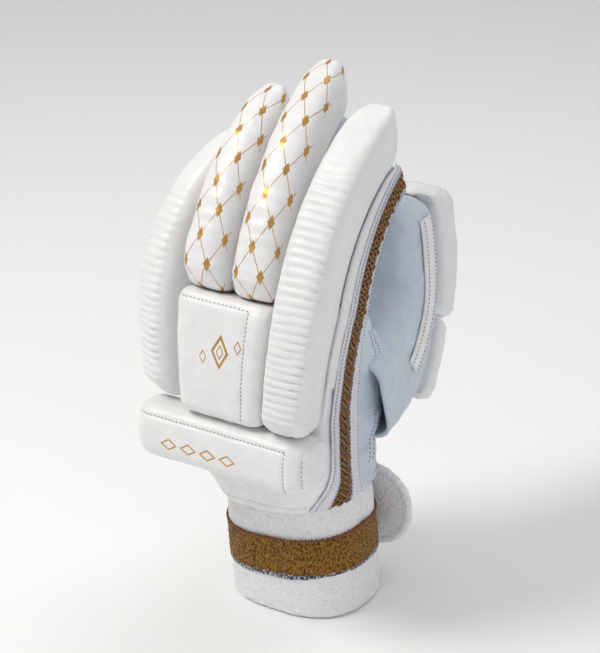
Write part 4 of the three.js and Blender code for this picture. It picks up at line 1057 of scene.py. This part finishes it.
for finger_name, finger in FINGERS.items():
    root, end = KNUCKLE_REACH + CLEARANCE, finger["length"] - STALL["tip_short"]
    s = np.r_[np.arange(root, end - 4, 0.9), np.linspace(end - 4, end, 8)]
    x, n, points = stall_grid(finger, s, 0)
    normals = normals_of(points)
    below = facing(normals, -PATHS[finger_name](s)["out"], 0.0, 0.8)
    creases = sum(-depth * np.exp(-((s - lerp(root, end, joint) - offset) / CREASE["width"]) ** 2)
                  for joint in CREASE["joints"] for offset, depth in zip(CREASE["offsets"], CREASE["depths"]))
    bulge = 0.35 * np.sin((s - root) / (end - root) * np.pi * 5) ** 2
    relief = below * (creases + bulge)[:, None] + 0.4 * rumple(points, 6, 11) * (0.4 + 0.6 * below)
    points = points + normals * relief[..., None]
    _, _, inside = stall_grid(finger, s[:-5], LEATHER)
    grid = np.vstack([inside[::-1], points])
    u = round_lengths(points[len(s) // 2])
    v = np.r_[-s[:-5][::-1], s]
    stall = skin(f"leather_stall_{finger_name}", grid, u, v, palm_leather)
    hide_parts(f"stall_{finger_name}")

# %% [markdown]
# ## Thumb
# The thumb stands off the palm in its own stall. Two padded bars protect its outer side, with a
# welted strip of leather between pads and stall.

# %% Thumb path
THUMB_POINTS = np.stack([lerp(THUMB["base_x"], THUMB["tip_x"], np.array(THUMB_ROWS["across"])),
                         np.array(THUMB_ROWS["out"]) * THUMB["out"],
                         THUMB["foot"] + np.array(THUMB_ROWS["up"]) * THUMB["rise"]], axis=1)


def thumb_curve(t):
    """The centripetal curve through the thumb's points."""
    first, last = 2 * THUMB_POINTS[0] - THUMB_POINTS[1], 2 * THUMB_POINTS[-1] - THUMB_POINTS[-2]
    points = np.vstack([first, THUMB_POINTS, last])
    place = np.clip(t, 0, 1) * (len(THUMB_POINTS) - 1)
    i = np.minimum(np.floor(place).astype(int), len(THUMB_POINTS) - 2)
    w = (place - i)[:, None]
    p = [points[i + k] for k in range(4)]
    d = [np.linalg.norm(p[k + 1] - p[k], axis=1, keepdims=True) ** 0.5 for k in range(3)]
    m1 = ((p[1] - p[0]) / d[0] - (p[2] - p[0]) / (d[0] + d[1]) + (p[2] - p[1]) / d[1]) * d[1]
    m2 = ((p[2] - p[1]) / d[1] - (p[3] - p[1]) / (d[1] + d[2]) + (p[3] - p[2]) / d[2]) * d[1]
    return (p[1] + m1 * w + (3 * p[2] - 3 * p[1] - 2 * m1 - m2) * w ** 2
            + (2 * p[1] - 2 * p[2] + m1 + m2) * w ** 3)


def thumb_frames(t):
    t = np.atleast_1d(np.asarray(t, float))
    along = unit(thumb_curve(np.minimum(t + 1e-3, 1)) - thumb_curve(np.maximum(t - 1e-3, 0)))
    side = np.broadcast_to(np.array([1.0, 0, 0]), along.shape)
    row = table_at({**THUMB_ROWS, "t": np.linspace(0, 1, 6)}, "t", t, 0.05)
    shrink = np.sqrt(1 - 0.6 * share(t, 0.88, 1) ** 2)
    return {"point": thumb_curve(t), "along": along, "out": unit(np.cross(along, side)), "across": side,
            "half_width": row["width"] * FINGER_WIDTH / 2 * shrink,
            "half_depth": row["depth"] * FINGER_WIDTH / 2 * shrink}


# %% Thumb stall
THUMB_CREASE = {"at": (0.40, 0.45, 0.66, 0.70), "depth": 1.3, "width": 0.012}  # shares of its length


def thumb_grid(t, inset):
    at = thumb_frames(t)
    w, d = at["half_width"] - inset, at["half_depth"] - inset
    corner = 0.8 * np.minimum(at["half_width"], at["half_depth"]) - inset
    x, n = round_box(-w, w, -d, d, corner, corner, 9, 8)
    return at, x, n, beside(at, x, n)


t = np.r_[np.linspace(0.03, 0.95, 110), np.linspace(0.955, 1, 10)]
at, x, n, points = thumb_grid(t, 0)
close = np.sqrt(np.maximum(1 - share(t, 0.955, 1) ** 2, 0.04))[:, None, None]
points = at["point"][:, None, :] + (points - at["point"][:, None, :]) * lerp(0.35, 1, close)
normals = normals_of(points)
inner_side = facing(normals, -at["out"], -0.2, 0.7)
creases = sum(-THUMB_CREASE["depth"] * np.exp(-((t - a) / THUMB_CREASE["width"]) ** 2)
              for a in THUMB_CREASE["at"])
relief = inner_side * creases[:, None] + 0.5 * rumple(points, 7, 14)
points = points + normals * relief[..., None]
_, _, _, inside = thumb_grid(t[:-14], LEATHER)
grid = np.vstack([inside[::-1], points])
u = round_lengths(points[60])
v = np.r_[-lengths(inside[:, 0])[::-1], lengths(points[:, 0])]
thumb_cover = skin("thumb_stall_leather", grid, u, v, palm_leather)
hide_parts("thumb_stall", "thumb_gusset")

# %% Thumb pads
PAD = {"flat": 0.62, "round": 2.6, "tip_round": 0.5, "end_round": 0.22, "close": 0.93, "narrow": 0.86,
       "seam": 4.5, "top_power": 3.2, "low_power": 5, "sides": 72}


def thumb_pad(name, start, stop, thick, tipped, node):
    """A padded bar on the thumb's outer side. A tipped one is rounder at its upper end."""
    p = np.r_[np.linspace(0, 0.12, 16), np.linspace(0.13, 0.87, 70), np.linspace(0.88, 1, 16)]
    t = lerp(start, stop, p)
    at = thumb_frames(t)
    off_middle = np.abs(2 * p - 1)
    edge = share(off_middle, PAD["flat"], 1)
    size = 1 - np.where((p > 0.5) & tipped, PAD["tip_round"], PAD["end_round"]) * edge ** PAD["round"]
    close = np.sqrt(np.maximum(1 - share(off_middle, PAD["close"], 1) ** 2, 0.12))
    width = THUMB["pad_width"] * lerp(1, PAD["narrow"], t) * (0.75 + 0.25 * size) * lerp(0.85, 1, close)
    low, high = at["half_depth"] + CLEARANCE, at["half_depth"] + thick * size * lerp(0.72, 1, close)
    x, n = loaf(width, low, high, PAD["top_power"], PAD["low_power"], PAD["sides"])
    points = beside(at, x, n)
    normals = normals_of(points)
    from_end = np.minimum(p, 1 - p)[:, None]
    pucker = 0.9 * rumple(points, 2.8, 21, (1, 3, 3)) * np.exp(-from_end * 14)
    pucker = pucker + groove(from_end * lengths(at["point"])[-1] - PAD["seam"], 0.7, 0.9)
    relief = 0.4 * rumple(points, 9, 22) + pucker
    points = points + normals * relief[..., None]
    u = round_lengths(points[50])
    made = skin(name, points, u, lengths(points[:, 18]), white_leather)
    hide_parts(node)
    return points, normals_of(points)


gap, foot = 0.006, 0.2                   # shares of the thumb's length
below, above = THUMB["split"] - gap, THUMB["split"] + gap
base_pad = thumb_pad("thumb_pad_lower", foot, below, THUMB["base_pad"], False, "thumb_pad_base")
tip_pad = thumb_pad("thumb_pad_upper", above, 1, THUMB["tip_pad"], True, "thumb_pad_tip")

# %% Thumb strip
t = np.linspace(foot, 0.93, 90)
at = thumb_frames(t)
spread = np.linspace(-1, 1, 14)[None, :]
bars, face = spread / 2 * THUMB["strip"], at["half_width"][:, None] + CLEARANCE
outer = beside(at, face + LEATHER - 0.6 * np.abs(spread) ** 4, bars)
strip_inner = beside(at, face + 0 * bars, bars)
thumb_welt = wall("thumb_side_strip", outer[:, ::-1], strip_inner[:, ::-1], white_leather, "white_leather")
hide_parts("thumb_strip")
strip_seams = [(outer[:, c] + [0.05, 0, 0], at["across"]) for c in (2, 11)]
pad_seams = [(pad[row, 4:33], away[row, 4:33]) for pad, away in (base_pad, tip_pad) for row in (9, 92)]
sew("thumb_stitches", strip_seams + pad_seams, lilac_thread, pitch=2.2)

# %% [markdown]
# ## Strips up the thumb side
# A net lets the hand breathe. It is knitted from crossing cords over a near-black sheet, painted shade seen
# through its holes, and is held by ribbed elastic on both sides.

# %% Strip path
STRIP_START, STRIP_END = RIM_S + 1, FINGERS["index"]["length"] - STRIP["tip_short"]


def hand_face(s, n):
    at = hand_limits(s)
    high = np.maximum(0, n - (at["high"] - at["high_radius"]))
    low = np.maximum(0, at["low"] + at["low_radius"] - n)
    past, radius = np.where(high > 0, high, low), np.where(high > 0, at["high_radius"], at["low_radius"])
    return at["right"] - radius + np.sqrt(np.maximum(0, radius ** 2 - past ** 2))


def side_face(s, n):
    on_finger = stall_limits(FINGERS["index"], s)[0] + stall_lean(FINGERS["index"]) * n
    return np.where(s > KNUCKLE_REACH, on_finger, hand_face(np.minimum(s, KNUCKLE_REACH), n))


def mesh_depth(s):
    eased = ease(share(s, RIM_S, KNUCKLE_REACH))
    drop = np.where(s > KNUCKLE_REACH, 0, arch_drop(FINGERS["index"]["place"]) * width_at(s) * eased)
    past = share(s, KNUCKLE_REACH, FINGERS["index"]["length"])
    return lerp(STRIP["rim"], lerp(STALL["root"] / 2, STRIP["tip_depth"], past), eased) + drop


def tape_width(s, across):
    on_finger = np.clip(share(s, RIM_S, KNUCKLE_REACH) * 2 - 1, 0, 1)
    tip = share(s, KNUCKLE_REACH, FINGERS["index"]["length"])
    at_rim = np.where(across > 0, STRIP["back"], STRIP["palm"])
    return lerp(lerp(at_rim, STRIP["finger"], on_finger), STRIP["tip"], tip)


def thumb_side(s, depth_of, lift):
    """Points on the glove's thumb side. depth_of gives how far below the back they are."""
    first_on_finger = lerp(KNUCKLE_REACH, STRIP_END, STRIP["first_station"])
    made = []
    on_hand, on_finger = np.minimum(s, KNUCKLE_REACH), np.maximum(s, first_on_finger)
    for path, at in ((hand_path, on_hand), (PATHS["index"], on_finger)):
        depth = depth_of(at)
        side = side_face(at, depth) + lift
        frames = path(at.ravel())
        line = frames["point"] + frames["across"] * side.reshape(-1, 1) + frames["out"] * depth.reshape(-1, 1)
        if path is hand_path:
            line = line + frames["along"] * hand_lift(at, side, depth).reshape(-1, 1)
        made.append(line)
    onto = share(s.ravel(), KNUCKLE_REACH, first_on_finger)[:, None]
    return lerp(made[0], made[1], onto).reshape(*s.shape, 3)


def strip_points(s, across, lift):
    """Points on the thumb side. across runs to 1 either way over the net and to 2 over the elastic."""
    s, across, lift = np.broadcast_arrays(*[np.asarray(a, float) for a in (s, across, lift)])
    beyond = np.maximum(0, np.abs(across) - 1)
    reach = np.minimum(1, np.abs(across)) * STRIP["mesh"] / 2 + beyond * tape_width(s, across)
    return thumb_side(s, lambda at: -mesh_depth(at) + np.sign(across) * reach, lift)


# %% Net, its painted shade sheet and elastic
s = np.linspace(STRIP_START, STRIP_END, 220)
# The near-black sheet under the net is painted shade.
net_shade_sheet = wall("painted_shade_net_sheet", *[strip_points(s[:, None], np.linspace(1, -1, 12), lift) for lift in (1.2, 0.3)],
              net_hole_shade, "side_net")
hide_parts("side_mesh")
CORD_PITCH, CORD_RADIUS, CORD_SIDES, CORD_LIFT, WEAVE = 4.6, 0.56, 6, 2.4, 0.45
run = STRIP["mesh"] * 1.15              # how far a cord climbs while it crosses the strip
cords, cord_faces, count = [], [], 0
across = np.linspace(-1, 1, 13)
for family in (1, -1):
    for k in range(int((STRIP_END - STRIP_START + run) / CORD_PITCH) + 1):
        middle = STRIP_START - run / 2 + k * CORD_PITCH + (0 if family > 0 else CORD_PITCH / 2)
        at_s = middle + family * across * run / 2
        inside = (at_s > STRIP_START) & (at_s < STRIP_END)
        if inside.sum() < 4:
            continue
        weave = WEAVE * family * np.cos(np.pi * across * STRIP["mesh"] / CORD_PITCH + np.pi * k)
        line = strip_points(at_s[inside], across[inside], CORD_LIFT + weave[inside])
        ring = tube(line, CORD_RADIUS, CORD_SIDES)
        rows, columns = ring.shape[:2]
        flat = np.zeros(max(rows, columns) + 1)
        faces = grid_faces((rows, columns), flat, flat)[0]
        faces += [list(range(columns))[::-1], list(range((rows - 1) * columns, rows * columns))]
        cord_faces += [[count + point for point in face] for face in faces]
        cords.append(ring.reshape(-1, 3))
        count += rows * columns
make_mesh("knitted_net", np.vstack(cords), cord_faces, None, net_cord)


def elastic(name, from_across, to_across, node):
    across = np.linspace(from_across, to_across, 26)[None, :]
    ribs = 0.16 * np.cos(np.linspace(0, 7 * 2 * np.pi, 26))[None, :]
    outer_edge = np.abs(across) ** 3 / 8
    down = s[:, None]
    wave = 0.8 * np.sin(down / 3.1 + 1.2 * np.sin(down / 11)) * outer_edge * (1 - share(down, 60, 90))
    lift = STRIP["lift"] + STRIP["thickness"] + ribs + 0.35 * wave
    top = strip_points(down, across + 0.05 * wave, lift)
    bottom = strip_points(down, across, STRIP["lift"] - 0.4)
    made = wall(name, top[:, ::-1], bottom[:, ::-1], white_elastic, "elastic_tape")
    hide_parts(node)
    return top


back_tape = elastic("elastic_by_the_back", 1.02, 2, "side_elastic_back")
palm_tape = elastic("elastic_by_the_palm", -2, -1.02, "side_elastic_palm")
tape_seams = [(tape[:, c], normals_of(tape, wrap_columns=False)[:, c]) for tape in (back_tape, palm_tape)
              for c in (3, 22)]
sew("tape_stitches", tape_seams, lilac_thread, pitch=2.2)
side_s, down = np.meshgrid(np.linspace(20, STRIP_END, 110), np.linspace(0, 1, 14), indexing="ij")
side_leather_faces = [thumb_side(side_s, lambda at: -lerp(
    0.8, mesh_depth(at) - STRIP["mesh"] / 2 - tape_width(at, 1.0) + 0.8, down), lift) for lift in (1.0, 0.1)]
wall("white_finger_side", *side_leather_faces, white_leather, "white_leather")
wall("grey_net_edging", *[strip_points(s[:120, None], np.linspace(-0.66, -1.04, 5), lift)
                          for lift in (2.7, 0.8)], grey_edging, "side_net")

# %% [markdown]
# ## Piping
# A white cord is sewn into the seam under the outer edge of each outer roll.

# %% Piped seams
for finger_name in ("index", "little"):
    finger = FINGERS[finger_name]
    side = math.copysign(1, finger["place"])
    s = np.linspace(1.3, finger["length"] - ROLL["tip"], 150)
    slim = lerp(1, finger["slim"], share(s, KNUCKLE_REACH, finger["length"]))
    wobble = 0.25 * np.sin(s / 5) + 0.2 * np.sin(s / 2.3)
    x = side * (width_at(s) / 2 * slim + 0.3)
    line = beside(PATHS[finger_name](s), x[:, None], (2.0 + 0.5 * wobble)[:, None])[:, 0]
    ring = tube(line, 1.25 * (1 + 0.06 * np.sin(s / 1.4)), 10, 1.0)
    turn = np.arange(11) * 0.8
    welt = skin(f"piping_{finger_name}", ring, turn, s, piping_leather)
    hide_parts(f"welt_{finger_name}")

# %% [markdown]
# ## Towelling cuff
# The cuff is a soft sleeve of towelling, so its pile and its slack are in the mesh. A brown band
# is knitted in round it, with a red-brown thread along its top and a flecked edge below.

# %% Cuff
def cuff_grid(z, inset, columns=300):
    swell = cuff_swell(z) - inset
    half_width, half_depth = CUFF["width"] / 2 + swell, CUFF["depth"] / 2 + swell
    corner = CUFF["corner"] + swell
    box = (-half_width, half_width, -half_depth, half_depth, corner, corner)
    x, y = round_box(*box, columns // 5 - 1, columns // 20)
    z = np.broadcast_to(np.atleast_1d(z)[:, None], x.shape)
    return np.stack([cuff_middle(z) + x, y, z + cuff_tilt(z, x)], axis=-1)


def pile(points, depth, seed):
    return depth * (rumple(points, 1.3, seed) + 0.6 * rumple(points, 0.7, seed + 3))


def towel_ring(name, profile, finish, depth=0.32, seed=30):
    z, inset = np.array(profile, float).T
    points = cuff_grid(z, inset)[:, ::-1]
    normals = normals_of(points, wrap_rows=True)
    outside = (1 - share(inset, 2, 4))[:, None]
    under_leather = share(z, RIM_HEIGHT - 6, RIM_HEIGHT + 2)[:, None]
    slack = lerp(0.5 * rumple(points, 26, seed + 1, (1, 1, 1.6)), -0.5, under_leather) * outside
    points = points + normals * (pile(points, depth, seed) + slack)[..., None]
    points[..., 2] = np.maximum(points[..., 2], 0)
    u = round_lengths(points[0])
    v = np.r_[lengths(points[:, 0]), 0]
    v[-1] = v[-2] + 1
    return skin(name, points, u, v, finish, wrap_rows=True)


def rounded_profile(low, high, outer, inner, step):
    """Up the outside, over the rounded rim, down the inside and round the lower rim."""
    r = (inner - outer) / 2
    turn = np.linspace(0, np.pi, 9)[1:-1]
    up = [(z, outer) for z in np.arange(low + r, high - r, step)]
    over = [(high - r + r * math.sin(a), outer + r - r * math.cos(a)) for a in turn]
    down = [(z, inner) for z in np.arange(high - r, low + r, -3 * step)]
    under = [(low + r - r * math.sin(a), inner - r + r * math.cos(a)) for a in turn]
    return up + over + down + under


low, high = BAND["bottom"], BAND["bottom"] + BAND["height"]
sleeve = rounded_profile(0.4, CUFF["height"], 0.3, CUFF["wall"], 0.85)
cuff = towel_ring("towelling_cuff", sleeve, white_towel)
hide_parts("cuff")
knitted_in = rounded_profile(low + 1.6, high - 0.8, -0.9, 1.2, 0.75)
band = towel_ring("brown_towelling_band", knitted_in, brown_towel, 0.35, 40)
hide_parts("cuff_band")
below_band = rounded_profile(low - 0.4, low + 1.9, -0.5, 1.0, 0.5)
towel_ring("flecked_band_edge", below_band, flecked_towel, 0.3, 50)
TEETH = 180
teeth = cuff_grid(np.array([high - 2.2, high + 0.5]), -1.1, TEETH)
away = normals_of(teeth[:, ::-1])[:, ::-1]
zigzag = [(np.stack([teeth[k % 2, k], teeth[(k + 1) % 2, (k + 1) % TEETH]]), away[[0, 0], k])
          for k in range(TEETH)]
sew("red_thread_teeth", zigzag, red_thread, pitch=99, size=2.4, radius=0.36)

# %% [markdown]
# ## Strap end
# The rounded end of the wrist strap stands off the cuff on the palm side. It is two layers of
# towelling sewn round the edge.

# %% Strap end
TAB_BOW, BOW_START, SEAM_INSET = 1.2, 24, 4.2


def tab_outline(count):
    """The strap end's edge, from its lower left corner round to its upper left."""
    length, height, corner, square = TAB["length"], TAB["height"], TAB["corner"], 5.0
    corners = [(length - corner, corner, corner, -90, 40), (length - corner, height - corner, corner, 0, 40),
               (square, height - square, square, 90, 12), (square, square, square, 180, 12)]
    arcs = []
    for x, z, radius, first, count_here in corners:
        turn = np.radians(np.linspace(first, first + 90, count_here))
        arcs.append(np.stack([x + radius * np.cos(turn), z + radius * np.sin(turn)], axis=1))
    line = np.vstack([*arcs, arcs[0][:1]])
    along = lengths(line)
    places = np.arange(count) / count * along[-1]
    return np.stack([np.interp(places, along, line[:, k]) for k in range(2)], axis=1)


edge_line = tab_outline(240)
centre = np.array([TAB["length"] / 2, TAB["height"] / 2])
tangent = unit(np.roll(edge_line, -1, 0) - np.roll(edge_line, 1, 0))
inward = np.stack([-tangent[:, 1], tangent[:, 0]], axis=1)
half_thick = TAB["thickness"] / 2
middle_y = CUFF["depth"] / 2 + CUFF["flare"] + CLEARANCE + half_thick
fan = [(centre + (edge_line - centre) * f, 1.0) for f in np.linspace(0.02, 0.9, 26)]
turned_edge = [(edge_line + inward * 2.2 * (1 - math.sin(a)), math.cos(a))
               for a in np.linspace(0, np.pi, 9)]
rows = fan + turned_edge + [(flat, -1.0) for flat, _ in fan[::-1]]
grid = [np.stack([TAB["start"] + flat[:, 0], middle_y + level * half_thick * 0.92 + 0 * flat[:, 0],
                  TAB["bottom"] + flat[:, 1]], axis=1) for flat, level in rows]
points = np.array(grid)
past = share(points[..., 0], BOW_START, TAB["start"] + TAB["length"])
points[..., 1] += TAB_BOW * past ** 2 * np.sin((points[..., 2] - TAB["bottom"]) / TAB["height"] * np.pi)
normals = normals_of(points)
if (normals[5, :, 1]).mean() < 0:
    points = points[:, ::-1]
    normals = normals_of(points)
rim = edge_line[None, None, ::4] + [TAB["start"], TAB["bottom"]]
border = np.min(np.linalg.norm(points[:, :, None, ::2] - rim, axis=-1), axis=-1)
relief = pile(points, 0.3, 70) + groove(border - SEAM_INSET, 0.6, 0.9)
points = points + normals * relief[..., None]
u = round_lengths(points[30])
tab = skin("towelling_strap_end", points, u, lengths(points[:, 0]), white_towel)
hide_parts("cuff_tab")
rim_line = edge_line + inward * SEAM_INSET
rim_seams = []
for face in (1, -1):
    bulge = TAB_BOW * share(TAB["start"] + rim_line[:, 0], BOW_START, TAB["start"] + TAB["length"]) ** 2
    rim_y = middle_y + face * half_thick + bulge * np.sin(rim_line[:, 1] / TAB["height"] * np.pi)
    line = np.stack([TAB["start"] + rim_line[:, 0], rim_y, TAB["bottom"] + rim_line[:, 1]], axis=1)
    rim_seams.append((line, np.tile([0.0, face, 0.0], (len(line), 1))))
sew("strap_end_stitches", rim_seams, white_thread, pitch=2.6, size=1.8)

# %% [markdown]
# ## Stage, light and camera
# The floor is plain and pale. The light is that of a product photograph: a large soft box high
# on the left, a weaker one on the right and a pale surround. The camera looks at the back of
# the glove from its thumb side and from above.

# %% Stage
paper, _, paper_shader = new_finish("pale_paper", Roughness=0.8)
paper_shader.inputs["Base Color"].default_value = linear("#fafafa")
floor_mesh = bpy.data.meshes.new("pale_floor")
FLAT, BEND, TOP = 1.5, 0.6, 2.2         # metres: the flat floor, its bend and the top of its wall
turn = np.linspace(0, np.pi / 2, 10)
profile = [(FLAT, 0.0)] + [(FLAT + BEND * math.sin(a), BEND - BEND * math.cos(a)) for a in turn[1:]]
profile.append((FLAT + BEND, TOP))
SIDES = 64
ways = [(math.cos(a), math.sin(a)) for a in np.arange(SIDES) / SIDES * 2 * np.pi]
bowl = [(0.0, 0.0, 0.0)] + [(r * c, r * s, z) for r, z in profile for c, s in ways]
bowl_faces = [[0, 1 + k, 1 + (k + 1) % SIDES] for k in range(SIDES)]
for i in range(len(profile) - 1):
    low_ring, high_ring = 1 + i * SIDES, 1 + (i + 1) * SIDES
    bowl_faces += [[low_ring + k, high_ring + k, high_ring + (k + 1) % SIDES, low_ring + (k + 1) % SIDES]
                   for k in range(SIDES)]
floor_mesh.from_pydata(bowl, [], bowl_faces)
floor_mesh.polygons.foreach_set("use_smooth", [True] * len(floor_mesh.polygons))
floor = bpy.data.objects.new("pale_floor", floor_mesh)
bpy.context.scene.collection.objects.link(floor)
floor_mesh.materials.append(paper)

centre = (cad_low + cad_high) / 2
world = bpy.data.worlds.new("pale_surround")
bpy.context.scene.world = world
world.use_nodes = True
world.node_tree.nodes["Background"].inputs["Color"].default_value = linear("#f4f4f3")
world.node_tree.nodes["Background"].inputs["Strength"].default_value = 0.42


def soft_box(name, place, size, power, colour):
    light = bpy.data.lights.new(name, "AREA")
    light.shape, light.size, light.energy = "DISK", size, power
    light.color = linear(colour)[:3]
    made = bpy.data.objects.new(name, light)
    bpy.context.scene.collection.objects.link(made)
    made.location = centre + Vector(place)
    made.rotation_euler = (-Vector(place)).to_track_quat("-Z", "Y").to_euler()


soft_box("key_box", (-0.55, -0.6, 1.0), 0.5, 9.2, "#fffdf9")
soft_box("fill_box", (1.0, -0.5, 0.25), 0.9, 1.6, "#f4f6ff")
soft_box("top_box", (0.1, 0.5, 1.0), 0.8, 3.0, "#ffffff")

# %% Camera
VIEW_AZIMUTH, VIEW_ELEVATION, VIEW_DISTANCE, FRAME_MM = 31, 25, 1.15, 324.0
camera_data = bpy.data.cameras.new("camera")
camera = bpy.data.objects.new("camera", camera_data)
bpy.context.scene.collection.objects.link(camera)
a, e = math.radians(VIEW_AZIMUTH), math.radians(VIEW_ELEVATION)
back = Vector((math.sin(a) * math.cos(e), -math.cos(a) * math.cos(e), math.sin(e)))
camera.location = centre + back * VIEW_DISTANCE
camera.rotation_mode = "QUATERNION"
camera.rotation_quaternion = (-back).to_track_quat("-Z", "Y")
PHOTO_WIDTH, PHOTO_HEIGHT = 600, 653
frame_height = FRAME_MM * PHOTO_HEIGHT / PHOTO_WIDTH / 1000
camera_data.lens = camera_data.sensor_width * VIEW_DISTANCE / frame_height
camera_data.clip_start, camera_data.clip_end = 0.01, 20
bpy.context.scene.camera = camera
bpy.context.scene.view_settings.view_transform = "Standard"
